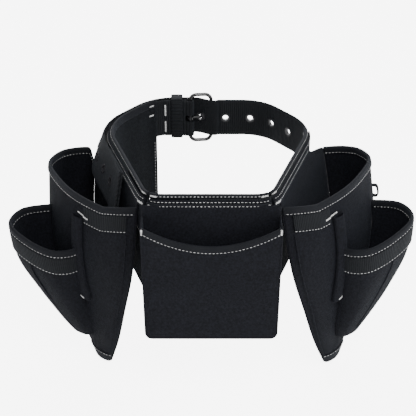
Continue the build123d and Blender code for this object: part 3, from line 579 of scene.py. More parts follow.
class TOOLBELT_OT_finishes(bpy.types.Operator):
    """Mix the finishes: cloth, lining, webbing, edge tape, thread and enamel"""
    bl_idname = "toolbelt.finishes"
    bl_label = "Mix the finishes"

    def execute(self, context):
        weave_group()
        rib_group()
        lint_group()
        paint = colours()
        fabric_finish("Pouch cloth", paint.cloth, "Plain weave", 1300.0, 0.00035, 0.78, 0.030, 0.35)
        fabric_finish("Pad lining", paint.lining, "Plain weave", 900.0, 0.00045, 0.85, 0.035, 0.35)
        fabric_finish("Webbing", paint.webbing, "Ribbed web", 1.0 / sizes().rib, 0.0006, 0.66, 0.035, 0.3)
        fabric_finish("Edge tape", paint.tape, "Ribbed web", 1100.0, 0.0002, 0.70, 0.045, 0.3)
        fabric_finish("Thread", paint.thread, "Plain weave", 2200.0, 0.0001, 0.7, 0.1, 0.1)
        fabric_finish("Label cloth", [c * 1.6 for c in paint.tape], "Plain weave", 1800.0, 0.0002,
                      0.6, 0.1, 0.1)
        enamel_finish("Buckle enamel", paint.metal, 0.22, 0.6)
        enamel_finish("Eyelet enamel", [c * 3.0 for c in paint.metal], 0.22, 0.6)
        return {"FINISHED"}


# ---- Belt webbing ----------------------------------------------------------------------------
def tail_station(distance, lift=0.0):
    """Middle and across direction of the tail at a distance round the left side of the loop."""
    point, normal = tail_loop(distance)
    share = min(max((distance - TAIL_LEAN_FROM) / (TAIL_LEAN_TO - TAIL_LEAN_FROM), 0.0), 1.0)
    lean = math.radians(TAIL_LEAN) * share
    up = Vector((0, 0, math.cos(lean))) - normal * math.sin(lean)
    face = normal * math.cos(lean) + Vector((0, 0, math.sin(lean)))
    middle = point + normal * HALF_WEB * math.sin(lean)
    middle.z = HALF_WEB - HALF_WEB * math.cos(lean)
    return middle + face * lift, up, face


def tail_loop(distance):
    """Point on the tail's own loop, which runs outside the belt, over -X."""
    left = distance
    x, y, heading = 0.0, LOOP_BACK + TAIL_MID, 0.0
    for run, radius, turn in RUNS:
        step = min(left, run)
        x += step * math.cos(heading)
        y += step * math.sin(heading)
        left -= step
        reach = radius + TAIL_MID
        if left <= 0 or not radius:
            break
        swing = min(left / reach, turn)
        cx, cy = x + reach * math.sin(heading), y - reach * math.cos(heading)
        heading -= swing
        x, y = cx - reach * math.sin(heading), cy + reach * math.cos(heading)
        left -= reach * turn
        if left <= 0:
            break
    return Vector((-x, y, 0.0)), Vector((math.sin(heading), math.cos(heading), 0.0))


def belt_stations():
    """The belt web from its folded end, round the heel bar and the waist, to the tail's end."""
    up = Vector((0, 0, 1))
    line = [(x, 126.1) for x in steps(6, -58.0, -35.0)]
    line += [(-29.0, 125.1)]
    for angle in steps(10, -90.0, 90.0):
        turn = math.radians(angle)
        line.append((HEEL_X + HEEL_WRAP * math.cos(turn), HEEL_Y + HEEL_WRAP * math.sin(turn)))
    line += [(-29.0, 129.9)]
    stations = [(Vector((x, y, 0.0)), up) for x, y in line]
    start, end = 2 * HALF_LOOP - 35.0, 14.0
    for distance in steps(230, start, end):
        stations.append((loop_at(distance, WEB_MID)[0], up))
    return stations


def strap_stations():
    """The strap under and over the front bar, then the tail round the left hip."""
    up = Vector((0, 0, 1))
    low = LOOP_BACK + 1.2
    keys = [(14.0, 128.9), (12.0, 128.8), (7.5, low + 0.5), (0.0, low + 2.2), (-11.0, 134.5),
            (-18.0, 136.2), (-24.0, 136.4)]
    knots = [k / (len(keys) - 1) for k in range(len(keys))]
    stations = []
    for share in steps(24):
        x, y = smooth_through(knots, keys, share)
        stations.append((Vector((x, y, 0.0)), up))
    for distance in steps(84, 28.0, TAIL_RUN + 34.0):
        middle, across, _ = tail_station(distance)
        stations.append((middle, across))
    return stations


def tail_cut(back, slant):
    """A cutting plane across the tail, a distance back from its end, turned by a slant in degrees."""
    middle, up, face = tail_station(TAIL_RUN)
    rearward = up.cross(face).normalized()
    if rearward.dot(tail_station(TAIL_RUN - 5)[0] - middle) < 0:
        rearward = -rearward
    turn = math.radians(slant)
    normal = rearward * math.cos(turn) + up * math.sin(turn)
    return (middle + normal * back) * MM, normal


def eyelet_spots():
    """Middles of the eyelets, read from the model."""
    bm = bmesh.new()
    bm.from_mesh(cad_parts["belt_eyelets"].data)
    bmesh.ops.remove_doubles(bm, verts=bm.verts, dist=1e-6)
    spots, seen = [], set()
    for vert in bm.verts:
        if vert in seen:
            continue
        seen.add(vert)
        island, queue = [], [vert]
        while queue:
            here = queue.pop()
            island.append(here.co.copy())
            for edge in here.link_edges:
                other = edge.other_vert(here)
                if other not in seen:
                    seen.add(other)
                    queue.append(other)
        spots.append(sum(island, Vector()) / len(island))
    bm.free()
    return spots


def punch(piece, spots, slot_box=None):
    """Punches the eyelet holes, and the prong's slot, through a finished web."""
    graph = bpy.context.evaluated_depsgraph_get()
    solid = bpy.data.meshes.new_from_object(piece.evaluated_get(graph))
    tree = BVHTree.FromObject(piece, graph)
    piece.modifiers.clear()
    piece.data = solid
    bm = bmesh.new()
    for spot in spots:
        hit = tree.find_nearest(spot)
        if hit[3] > 0.004:
            continue
        normal = tree.find_nearest(spot + hit[1] * 0.003)[1]
        turn = normal.to_track_quat("Z", "Y").to_matrix().to_4x4()
        bmesh.ops.create_cone(bm, cap_ends=True, segments=24, radius1=HOLE_RADIUS * MM,
                              radius2=HOLE_RADIUS * MM, depth=0.012, matrix=Matrix.Translation(spot) @ turn)
    if slot_box:
        low, high = slot_box
        size = high - low
        bmesh.ops.create_cube(bm, size=1.0, matrix=Matrix.Translation((low + high) / 2)
                              @ Matrix.Diagonal((size.x, size.y, size.z, 1.0)))
    mesh = bpy.data.meshes.new("Punch")
    bm.to_mesh(mesh)
    bm.free()
    cutter = bpy.data.objects.new("Punch", mesh)
    bpy.context.scene.collection.objects.link(cutter)
    cut = piece.modifiers.new("Punch", "BOOLEAN")
    cut.operation = "DIFFERENCE"
    cut.solver = "EXACT"
    cut.object = cutter
    graph = bpy.context.evaluated_depsgraph_get()
    punched = bpy.data.meshes.new_from_object(piece.evaluated_get(graph))
    piece.modifiers.clear()
    piece.data = punched
    bpy.data.objects.remove(cutter)
    return piece


class TOOLBELT_OT_webbing(bpy.types.Operator):
    """Lay the belt web round the waist, fold it on the buckle and tuck its tail away"""
    bl_idname = "toolbelt.webbing"
    bl_label = "Lay the webbing"

    def execute(self, context):
        web = sizes().web
        spots = eyelet_spots()
        common = {"body": "belt", "finish": "Webbing", "slot": "webbing"}
        line = belt_stations() + strap_stations()[1:]
        end, rearward = tail_cut(0.0, TAIL_SLANT)
        belt = strip("belt_web", line, 2 * HALF_WEB, rows=8, thick=web, cuts=[(end, -rearward)],
                     nodes=["belt_webbing", "belt_tail"], **common)
        punch(belt, spots, (Vector((-0.030, 0.1175, -0.0045)), Vector((-0.0105, 0.1325, 0.0045))))
        hem = [tail_station(distance, 2.8)[:2] for distance in steps(30, 230.0, TAIL_RUN + 34.0)]
        strip("belt_tail_hem", hem, 2 * HALF_WEB, rows=8, thick=web,
              cuts=[(end, -rearward), tail_cut(TAIL_HEM, TAIL_SLANT)], **common)
        sew("belt_fold_tacks", [belt], [], "belt", tacks=[
            (Vector((-0.0555, 0.1245, -0.019)), Vector((-0.0555, 0.1245, -0.004)), 0.0026),
            (Vector((-0.0555, 0.1245, 0.004)), Vector((-0.0555, 0.1245, 0.019)), 0.0026)])
        low, high = 1.2, 14.3
        ring, tall, bend = [], 27.0, 2.5
        corners = [(low - 1.9, -tall), (high + 0.9, -tall), (high + 0.9, tall), (low - 1.9, tall)]
        middle_y = sum(c[0] for c in corners) / 4
        half_y = (corners[1][0] - corners[0][0]) / 2
        for quarter, (sy, sz) in enumerate([(1, -1), (1, 1), (-1, 1), (-1, -1)]):
            for angle in steps(4, -90.0 + 90 * quarter, 90.0 * quarter):
                turn = math.radians(angle)
                ring.append((sy * (half_y - bend) + bend * math.cos(turn),
                             sz * (tall - bend) + bend * math.sin(turn)))
            nxt = [(1, 1), (-1, 1), (-1, -1), (1, -1)][quarter]
            if nxt[1] != sz:
                for z in steps(6, sz * (tall - bend), nxt[1] * (tall - bend))[1:-1]:
                    ring.append((ring[-1][0], z))
        ring.append(ring[0])
        across = Vector((1, 0, 0))
        loop = [(Vector((KEEPER_X, LOOP_BACK + middle_y + y, z)), across) for y, z in ring]
        strip("belt_keeper_loop", loop, KEEPER_WIDTH, rows=3, closed=True, body="belt_keeper",
              finish="Webbing", slot="webbing", nodes=["belt_keeper"], thick=0.0018)
        return {"FINISHED"}


class TOOLBELT_OT_buckle(bpy.types.Operator):
    """Enamel the wire buckle, its prong and the eyelets"""
    bl_idname = "toolbelt.buckle"
    bl_label = "Enamel the buckle"

    def execute(self, context):
        for node, finish in (("buckle_frame", "Buckle enamel"), ("buckle_prong", "Buckle enamel"),
                             ("belt_eyelets", "Eyelet enamel")):
            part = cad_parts[node]
            part.data.materials.clear()
            part.data.materials.append(bpy.data.materials[finish])
        return {"FINISHED"}


# ---- Hip pads --------------------------------------------------------------------------------
def loop_sheet(name, span, out, low, high, rows, puff=0.0, **rest):
    """A sheet that follows the loop between two heights, with its fill standing out a little."""
    start, end = span
    run = end - start
    columns = max(int(run / 5.0), 8)

    def shape(x, y):
        point, normal = loop_at(start + run * x, out)
        z = low + (high - low) * y
        edge = min(ease(0.0, 0.12, x), ease(0.0, 0.12, 1 - x), ease(0, 0.15, y), ease(0, 0.15, 1 - y))
        wave = noise.noise(Vector((start + run * x, z, out)) * 0.022) * puff * edge
        point = point + normal * wave
        point.z = z
        return point * MM

    return cloth_sheet(name, columns, rows, shape, (run * MM, (high - low) * MM), **rest)


def loop_path(span, out, z, inset=0.0):
    """A path round part of the loop."""
    start, end = span[0] + inset, span[1] - inset
    path = []
    for distance in steps(int((end - start) / 3.0) + 2, start, end):
        point, _ = loop_at(distance, out)
        point.z = z
        path.append(point * MM)
    return path


def pad_tape(side, span):
    """The edge tape folded over the top of a pad."""
    profile = [(-0.6, 19.0), (-0.7, 24.0), (-0.5, 28.0), (1.2, 28.7), (3.0, 28.0), (3.15, 25.6)]
    start, end = span
    run = end - start
    columns = max(int(run / 4.0), 8)

    def shape(x, y):
        i = round(y * (len(profile) - 1))
        out, z = profile[i]
        point, _ = loop_at(start + run * x, out)
        point.z = z
        return point * MM

    return cloth_sheet(side + "_pad_binding", columns, len(profile) - 1, shape, (run * MM, 0.018),
                       body="belt", finish="Edge tape", slot="edge_tape", thick=0.0011,
                       nodes=[side + "_pad_edge_tape"])


class TOOLBELT_OT_hip_pads(bpy.types.Operator):
    """Sew the three hip pads with their edge tape, tunnel covers and hanger bands"""
    bl_idname = "toolbelt.hip_pads"
    bl_label = "Sew the hip pads"

    def execute(self, context):
        for side, span in PAD_SPANS.items():
            pad = loop_sheet(side + "_pad", span, 1.25, PAD_FOOT[side], PAD_TOP - 0.2, 26, 1.6,
                             body="belt", finish="Pad lining", slot="pad_lining", thick=0.0024,
                             nodes=[side + "_hip_pad"])
            tape = pad_tape(side, span)
            cover = loop_sheet(side + "_tunnel", span, COVER_MID, -27.5, COVER_TOP, 14, 0.5,
                               body="belt", finish="Pouch cloth", slot="pouch_fabric", thick=0.0019,
                               nodes=[side + "_tunnel_cover"])
            band = loop_sheet(side + "_hanger", BAND_SPANS[side], BAND_MID, 11.3, BAND_TOP, 4,
                              0.0, body="belt", finish="Edge tape", slot="edge_tape", thick=0.0021,
                              nodes=[side + "_hanger_band"])
            rows = [loop_path(span, 3.9, 26.6, 2.0), loop_path(span, 7.6, 21.6, 2.0),
                    loop_path(BAND_SPANS[side], 9.8, 17.6, 2.0), loop_path(span, 7.6, -24.5, 2.0)]
            ends = []
            if side != "centre":
                rear = span[0] if side == "right" else span[1]
                turn = 4.0 if side == "right" else -4.0
                for out in (-0.4, 3.2):
                    point, _ = loop_at(rear + turn, out)
                    ends.append([Vector((point.x, point.y, z)) * MM for z in (-29.0, PAD_FOOT[side] + 4)])
            sew(side + "_pad_stitches", [pad, tape, cover, band], rows + ends, "belt",
                tacks=self.tacks(side, span))
        return {"FINISHED"}

    def tacks(self, side, span):
        """Bar tacks at a pad's corners and at the rear of its tunnel."""
        found = []
        for end, turn in ((span[0], 1), (span[1], -1)):
            for out, z in ((3.9, 26.0), (9.8, 16.0)):
                a, _ = loop_at(end + turn * 2.0, out)
                b, _ = loop_at(end + turn * 9.0, out)
                found.append((Vector((a.x, a.y, z)) * MM, Vector((b.x, b.y, z)) * MM, 0.0028))
        if side != "centre":
            rear, turn = (span[0], 1) if side == "right" else (span[1], -1)
            for z in (22.5, 9.0):
                a, _ = loop_at(rear + turn * 5.0, -0.8)
                b, _ = loop_at(rear + turn * 12.0, -0.8)
                found.append((Vector((a.x, a.y, z)) * MM, Vector((b.x, b.y, z)) * MM, 0.0026))
        return found


# ---- Centre pouch ----------------------------------------------------------------------------
def centre_rim(x):
    """Height of the scooped rim at a share of the half width."""
    deep = CENTRE_SCOOP - CENTRE_RIM_SIDE
    return HINGE_Z - CENTRE_RIM_SIDE - deep * (1 - x * x)


def centre_point(x, z, y):
    """A point of the centre pouch's front at a signed share of its half width."""
    share = (HINGE_Z - z) / (HINGE_Z - CENTRE_FLOOR)
    half = CENTRE_HALF + (CENTRE_FOOT_HALF - CENTRE_HALF) * share
    px = x * half
    corner = CENTRE_CORNER
    a = (abs(px) - (half - corner)) / corner
    b = ((CENTRE_FLOOR + corner) - z) / corner
    if a > 0 and b > 0:
        a, b = min(a, 1.0), min(b, 1.0)
        px = math.copysign(half - corner + corner * a * math.sqrt(1 - b * b / 2), px)
        z = CENTRE_FLOOR + corner - corner * b * math.sqrt(1 - a * a / 2)
    return Vector((px + CENTRE_SHIFT, y, z))


class TOOLBELT_OT_centre_pouch(bpy.types.Operator):
    """Sew the wide centre pouch: leaf, gusset, scooped face and edge tape"""
    bl_idname = "toolbelt.centre_pouch"
    bl_label = "Sew the centre pouch"

    def execute(self, context):
        crease = sizes().crease / MM
        cloth = {"body": "centre_pouch", "finish": "Pouch cloth", "slot": "pouch_fabric"}

        def leaf_shape(x, y):
            z = 19.0 + (CENTRE_FLOOR - 19.0) * y
            point = centre_point(2 * x - 1, min(z, HINGE_Z), -130.6)
            point.z = z if z > CENTRE_FLOOR + CENTRE_CORNER else point.z
            return point * MM

        leaf = cloth_sheet("centre_back_panel", 36, 40, leaf_shape, (0.152, 0.169), thick=sizes().cloth,
                           nodes=["centre_leaf"], finish="Pouch cloth", slot="pouch_fabric", body=None)
        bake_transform(leaf)

        def face_shape(x, y):
            sx = 2 * x - 1
            top = centre_rim(sx)
            z = top + (CENTRE_FLOOR - top) * y
            edge = min(ease(1.0, 0.86, abs(sx)), ease(0.0, 0.10, y), ease(1.0, 0.9, y))
            swell = 1.0 * edge + noise.noise(Vector((sx * 1.7, z * 0.02, 3.1))) * crease * edge
            point = centre_point(sx, z, CENTRE_FRONT + 1.0 - swell)
            return point * MM

        face = cloth_sheet("centre_front_panel", 56, 48, face_shape, (0.152, 0.140),
                           thick=sizes().cloth, nodes=["centre_face"], **cloth)

        def edge_line(share):
            """Round the pouch's side, bottom and other side, as a share of the way."""
            side_run = foot_run = 2 * CENTRE_FOOT_HALF
            total = 2 * side_run + foot_run
            here = share * total
            if here < side_run:
                return -1.0, 8.0 + (CENTRE_FLOOR - 8.0) * here / side_run
            if here < side_run + foot_run:
                return 2 * (here - side_run) / foot_run - 1, CENTRE_FLOOR
            return 1.0, CENTRE_FLOOR + (8.0 - CENTRE_FLOOR) * (here - side_run - foot_run) / side_run

        def gusset_shape(x, y):
            sx, z = edge_line(x)
            deep = CENTRE_WALL - 0.2 + (CENTRE_FRONT + 1.4 - CENTRE_WALL) * y
            point = centre_point(sx, z, deep)
            middle = Vector((CENTRE_SHIFT, deep, (8.0 + CENTRE_FLOOR) / 2))
            inward = (middle - point).normalized()
            fold = 1.0 + 2.6 * math.sin(math.pi * y) * ease(0.0, 0.1, x) * ease(1.0, 0.9, x)
            return (point + inward * fold) * MM

        cloth_sheet("centre_side_strip", 120, 8, gusset_shape, (0.46, 0.026),
                    thick=sizes().cloth, nodes=["centre_gusset"], **cloth)
        profile = [(1.5, RIM_DEPTH), (1.6, 4.0), (1.4, 0.6), (-0.2, -0.6), (-1.7, 0.6), (-1.9, 4.0),
                   (-1.7, RIM_DEPTH)]

        def tape_shape(x, y):
            sx = 2 * x - 1
            out, drop = profile[round(y * (len(profile) - 1))]
            point = centre_point(sx * 1.012, centre_rim(sx) - drop, CENTRE_FRONT + 1.0 - out)
            return point * MM

        tape = cloth_sheet("centre_mouth_binding", 56, len(profile) - 1, tape_shape, (0.16, 0.021),
                           thick=0.0011, nodes=["centre_rim_tape"], body="centre_pouch",
                           finish="Edge tape", slot="edge_tape")
        rows = []
        for out in (2.8, -3.2):
            rows.append([centre_point(sx, centre_rim(sx) - STITCH_DROP, CENTRE_FRONT + 1.0 - out) * MM
                         for sx in steps(50, -0.97, 0.97)])
        sew("centre_mouth_stitches", [tape, face, leaf], rows, "centre_pouch", tacks=[
            (Vector((s * 76.5 + CENTRE_SHIFT, y0, z0)) * MM,
             Vector((s * 76.5 + CENTRE_SHIFT, y1, z1)) * MM, 0.0028)
            for s in (-1, 1) for y0, z0, y1, z1 in ((-158.6, 4.0, -158.6, -3.0), (-150.0, 6.0, -143.0, 6.0))])
        rim = [centre_point(sx, z, CENTRE_FRONT + 0.6) * MM
               for sx, z in [edge_line(s) for s in steps(120, 0.01, 0.99)]]
        welt("centre_seam_welt", rim, 0.0011, body="centre_pouch", finish="Pouch cloth",
             slot="pouch_fabric")
        return {"FINISHED"}


# ---- Side pouches ----------------------------------------------------------------------------
SIDE_KEYS = chord_keys(SIDE_OUTLINE, SIDE_LENGTH, SIDE_DEPTH)
SMALL_KEYS = chord_keys(SMALL_OUTLINE, SMALL_LENGTH["left"], SMALL_DEPTH["left"])


def hip_matrix(side):
    """Where a side pouch's own frame stands in the row frame, in millimetres."""
    along = Vector((-56.0, 174.0, 0.0)).normalized()
    out = Vector((-along.y, along.x, 0.0))
    start = Vector((-68.0, -122.0, HINGE_Z)) + along * 12.0 + out * LEAF_MID
    lean = math.radians(LEAN[side])
    up = Vector((0, 0, math.cos(lean))) - out * math.sin(lean)
    across = up.cross(along)
    place = Matrix((along, across, up)).transposed().to_4x4()
    place.translation = start
    return Matrix.Scale(-1, 4, (1, 0, 0)) @ place if side == "right" else place


PLACES = {side: hip_matrix(side) for side in LEAN}


def hung(side, point):
    """A point of the side pouch's own frame, in the row frame, in metres."""
    return (PLACES[side] @ Vector(point)) * MM


def side_wall(t, z, grow=0.0):
    """A point of the side pouch's outer wall at a share of its outline and a height."""
    front, rear, depth = smooth_through([row[0] for row in SIDE_LEVELS],
                                        [row[1:] for row in SIDE_LEVELS], -z / SIDE_TIP)

    def at(share):
        u, w = smooth_through(SIDE_KEYS, SIDE_OUTLINE, share)
        return Vector((SIDE_LENGTH * (front + (rear - front) * u), 1.0 + SIDE_DEPTH * depth * w))

    here = at(t)
    along = at(min(t + 0.01, 1.0)) - at(max(t - 0.01, 0.0))
    out = Vector((-along.y, along.x)).normalized() if along.length else Vector((0, 1))
    here = here + out * grow
    return Vector((here.x, here.y, z))


def side_depth(u, z):
    """Distance of the side pouch's outer wall from its leaf at u."""
    low, high = 0.12, 0.90
    for _ in range(22):
        mid = (low + high) / 2
        low, high = (mid, high) if side_wall(mid, z).x < u else (low, mid)
    return side_wall(low, z).y


def mouth(side, t):
    """Height of the side pouch's rim at a share of its outline."""
    point = side_wall(t, -15.0)
    z = straight_through(SIDE_RIM, point.x)
    if side == "left" and t > 0.5:
        z -= 20.0 * ease(8.0, 3.0, point.y)
    return z


def small_wall(side, t, z, grow=0.0):
    """A point of the small pouch's wall."""
    share = (-z - SMALL_TOP) / SMALL_HEIGHT
    front, rear, base, depth = smooth_through([row[0] for row in SMALL_LEVELS],
                                              [row[1:] for row in SMALL_LEVELS], share)

    def at(key):
        u, w = smooth_through(SMALL_KEYS, SMALL_OUTLINE, key)
        return Vector((SMALL_FRONT[side] + SMALL_LENGTH[side] * (front + (rear - front) * u),
                       SMALL_BASE[side] * base + SMALL_DEPTH[side] * depth * w))

    here = at(t)
    along = at(min(t + 0.01, 1.0)) - at(max(t - 0.01, 0.0))
    here = here + Vector((-along.y, along.x)).normalized() * grow
    return Vector((here.x, here.y, z))


SMALL_ENDS = {}


def small_ends(side, z):
    """Shares of the small pouch's outline at which it leaves and meets the side pouch's wall."""
    z = max(round(z), -(SMALL_TOP + SMALL_HEIGHT))
    if (side, z) not in SMALL_ENDS:
        spots = [small_wall(side, t, z) for t in steps(80)]
        outer = [i for i, spot in enumerate(spots) if spot.y > side_depth(spot.x, z) - 0.6]
        SMALL_ENDS[side, z] = (max(outer[0] - 0.5, 0) / 80, min(outer[-1] + 0.5, 80) / 80)
    return SMALL_ENDS[side, z]


def small_spot(side, s, z, grow=0.0):
    """A point of the small pouch's wall at a share of the part that shows."""
    ends = [small_ends(side, z + step) for step in (-8, -4, 0, 4, 8) if z + step < -SMALL_TOP]
    low = sum(pair[0] for pair in ends) / len(ends)
    high = sum(pair[1] for pair in ends) / len(ends)
    return small_wall(side, low + (high - low) * s, z, grow)


def small_mouth(side, s):
    """Height of the small pouch's rim at a share of the part that shows."""
    front = SMALL_FRONT[side]
    rim = [(front, SMALL_MOUTH[0]), (front + SMALL_LENGTH[side], SMALL_MOUTH[1])]
    return straight_through(rim, small_spot(side, s, -75.0).x)


def side_share(value, axis, start, end):
    """Share of the side pouch's outline at which one of its coordinates has a value, near the mouth."""
    rising = side_wall(end, -30.0)[axis] > side_wall(start, -30.0)[axis]
    low, high = start, end
    for _ in range(24):
        mid = (low + high) / 2
        low, high = (mid, high) if (side_wall(mid, -30.0)[axis] < value) == rising else (low, mid)
    return low


def make_side_pouch(side):
    """All the sewn pieces of one side pouch."""
    body = side + "_pouch"
    cloth, binding = sizes().cloth, sizes().binding
    crease = sizes().crease / MM
    seed = 1.0 if side == "left" else 7.0
    common = {"body": body, "finish": "Pouch cloth", "slot": "pouch_fabric"}
    tape_look = {"body": body, "finish": "Edge tape", "slot": "edge_tape"}
    web_look = {"body": body, "finish": "Webbing", "slot": "webbing"}

    def leaf_shape(x, y):
        z = 9.0 - (SIDE_TIP + 9.0) * y
        height = min(max(-z / SIDE_TIP, 0.0), 1.0)
        front, rear, _ = smooth_through([row[0] for row in SIDE_LEVELS],
                                        [row[1:] for row in SIDE_LEVELS], height)
        end = SIDE_LENGTH * rear
        drop = REAR_DROP[side]
        if z > -drop:
            end = HINGE_SPAN[side] + (end - HINGE_SPAN[side]) * min(max(-z / drop, 0.0), 1.0)
        u = SIDE_LENGTH * front + (end - SIDE_LENGTH * front) * x
        return hung(side, (u, 0.0, z))

    leaf = cloth_sheet(side + "_back_panel", 36, 54, leaf_shape, (0.190, 0.269), thick=cloth,
                       nodes=[side + "_leaf"], body=None, finish="Pouch cloth", slot="pouch_fabric")
    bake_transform(leaf)

    def face_shape(x, y):
        top = mouth(side, x)
        z = top + (-SIDE_TIP - top) * min(y / 0.97, 1.0)
        edge = min(ease(0.0, 0.10, x), ease(1.0, 0.90, x), ease(0.0, 0.16, y), ease(1.0, 0.86, y))
        wave = noise.noise(Vector((x * 5.0, z * 0.013, seed))) + 0.5 * noise.noise(
            Vector((x * 14.0, z * 0.03, seed + 2)))
        point = side_wall(x, z, -1.0 + crease * wave * edge)
        if y > 0.97:
            centre = (side_wall(0.5, z) + side_wall(0.0, z) + side_wall(1.0, z)) / 3
            point = point.lerp(centre, (y - 0.97) / 0.03 * 0.95)
        return hung(side, point)

    face = cloth_sheet(side + "_face_panel", 84, 66, face_shape, (0.255, 0.245), thick=cloth,
                       nodes=[side + "_face", side + "_gusset"], **common)

    profile = [(0.7, RIM_DEPTH), (0.9, 5.0), (0.8, 0.6), (-1.0, -0.7), (-2.8, 0.6), (-2.9, 5.0),
               (-2.7, RIM_DEPTH)]

    def rim_shape(x, y):
        out, drop = profile[round(y * (len(profile) - 1))]
        return hung(side, side_wall(x, mouth(side, x) - drop, out))

    rim = cloth_sheet(side + "_mouth_binding", 90, len(profile) - 1, rim_shape, (0.26, 0.021),
                      thick=binding, nodes=[side + "_rim_tape"], **tape_look)

    band_start, band_end = side_share(10.0, 1, 0.0, 0.2), side_share(BAND_END[side], 0, 0.08, 0.6)

    def band_shape(x, y):
        t = band_start + (band_end - band_start) * x
        return hung(side, side_wall(t, mouth(side, t) - RIM_DEPTH - SIDE_BAND * y, 0.8))

    band = cloth_sheet(side + "_web_patch", 20, 6, band_shape, (0.062, 0.022), thick=0.0014,
                       nodes=[side + "_web_band"], **web_look)

    def cap_shape(x, y):
        z = -SIDE_TIP + TIP_CAP * (1 - min(y / 0.85, 1.0))
        point = side_wall(x, z, 0.8)
        if y > 0.85:
            centre = (side_wall(0.5, z) + side_wall(0.0, z) + side_wall(1.0, z)) / 3
            point = point.lerp(centre, (y - 0.85) / 0.15 * 0.95)
            point.z -= 0.6
        return hung(side, point)

    cap = cloth_sheet(side + "_tip_patch", 32, 10, cap_shape, (0.07, 0.02), thick=0.0014,
                      nodes=[side + "_tip_cap"], **tape_look)

    def small_shape(x, y):
        top = small_mouth(side, x)
        foot = -(SMALL_TOP + SMALL_HEIGHT)
        z = top + (foot - top) * min(y / 0.96, 1.0)
        edge = min(ease(0.0, 0.10, x), ease(1.0, 0.90, x), ease(0.0, 0.25, y), ease(1.0, 0.8, y))
        wave = noise.noise(Vector((x * 4.5, z * 0.018, seed + 4)))
        point = small_spot(side, x, z, -1.0 + crease * wave * edge)
        if y > 0.96:
            home = (small_spot(side, 0.0, z) + small_spot(side, 1.0, z)) / 2
            point = point.lerp(home, (y - 0.96) / 0.04 * 0.95)
        return hung(side, point)

    small = cloth_sheet(side + "_small_panel", 60, 44, small_shape, (0.19, 0.135), thick=cloth,
                        nodes=[side + "_small_pouch"], **common)

    def small_rim_shape(x, y):
        out, drop = profile[round(y * (len(profile) - 1))]
        return hung(side, small_spot(side, x, small_mouth(side, x) - drop, out))

    small_rim = cloth_sheet(side + "_small_binding", 64, len(profile) - 1, small_rim_shape,
                            (0.19, 0.021), thick=binding, nodes=[side + "_small_rim_tape"], **tape_look)

    def small_band_shape(x, y):
        t = 0.01 + 0.98 * x
        return hung(side, small_spot(side, t, small_mouth(side, t) - RIM_DEPTH - SMALL_BAND * y, 0.8))

    small_band = cloth_sheet(side + "_small_web", 60, 6, small_band_shape, (0.185, 0.024),
                             thick=0.0014, nodes=[side + "_small_web_band"], **web_look)

    def sleeve_shape(x, y):
        z = -SLEEVE_TOP - SLEEVE_LONG * y
        turn = 2 * math.pi * x
        a, b = 7.2 * math.cos(turn), 3.8 * math.sin(turn)
        lean = math.radians(SLEEVE_TURN)
        u = SMALL_FRONT[side] + 7.0 + a * math.cos(lean) - b * math.sin(lean)
        w = side_depth(SMALL_FRONT[side] + 8.0, z) + 3.6 + a * math.sin(lean) + b * math.cos(lean)
        return hung(side, (u, w, z))

    sleeve = cloth_sheet(side + "_tool_tube", 20, 30, sleeve_shape, (0.038, 0.115), closed=True,
                         thick=0.0015, nodes=[side + "_tool_sleeve"], **common)

    rows = []
    for out in (1.8, -3.9):
        rows.append([hung(side, side_wall(t, mouth(side, t) - STITCH_DROP, out))
                     for t in steps(90, 0.01, 0.99)])
    rows.append([hung(side, side_wall(t, mouth(side, t) - 29.5, 2.0))
                 for t in steps(20, band_start, band_end)])
    rows.append([hung(side, side_wall(t, -SIDE_TIP + CAP_STITCH, 2.0)) for t in steps(24, 0.02, 0.98)])
    tacks = [(hung(side, side_wall(band_end - 0.030, mouth(side, band_end) - 23.0, 2.2)),
              hung(side, side_wall(band_end + 0.045, mouth(side, band_end) - 21.5, 2.2)), 0.0026)]
    sew(side + "_pouch_stitches", [rim, band, cap, face], rows, body, tacks)

    rows = []
    for out in (1.8, -3.9):
        rows.append([hung(side, small_spot(side, t, small_mouth(side, t) - STITCH_DROP, out))
                     for t in steps(60, 0.02, 0.98)])
    rows.append([hung(side, small_spot(side, t, small_mouth(side, t) - 31.0, 2.0))
                 for t in steps(60, 0.02, 0.98)])
    edge = small_spot(side, 0.99, small_mouth(side, 0.99) - 2.0, 0.0)
    tacks = [(hung(side, (edge.x, edge.y + 1.5, edge.z + 2)), hung(side, (edge.x, edge.y + 1.5, edge.z + 14)),
              0.0030)]
    sew(side + "_small_stitches", [small_rim, small_band, small], rows, body, tacks)

    foot = side_depth(SMALL_FRONT[side] + 8.0, -151.0) + 10.0
    low = hung(side, (SMALL_FRONT[side] + 1.0, foot, -152.0))
    high = hung(side, (SMALL_FRONT[side] + 9.0, foot, -150.0))
    sew(side + "_sleeve_tacks", [sleeve], [], body, [(low, high, 0.0026)])

    seam = [hung(side, side_wall(band_start, z, 0.2)) for z in steps(40, -42.0, -SIDE_TIP + 14.0)]
    welt(side + "_front_seam_welt", seam, 0.0010, **common)
    rear = side_share(12.0, 1, 1.0, 0.85)
    seam = [hung(side, side_wall(rear, z, 0.2)) for z in steps(40, -48.0, -SIDE_TIP + 14.0)]
    welt(side + "_rear_seam_welt", seam, 0.0010, **common)
    seam = [hung(side, small_spot(side, 0.42, z, 0.2)) for z in steps(30, -112.0, -205.0)]
    welt(side + "_small_seam_welt", seam, 0.0010, **common)


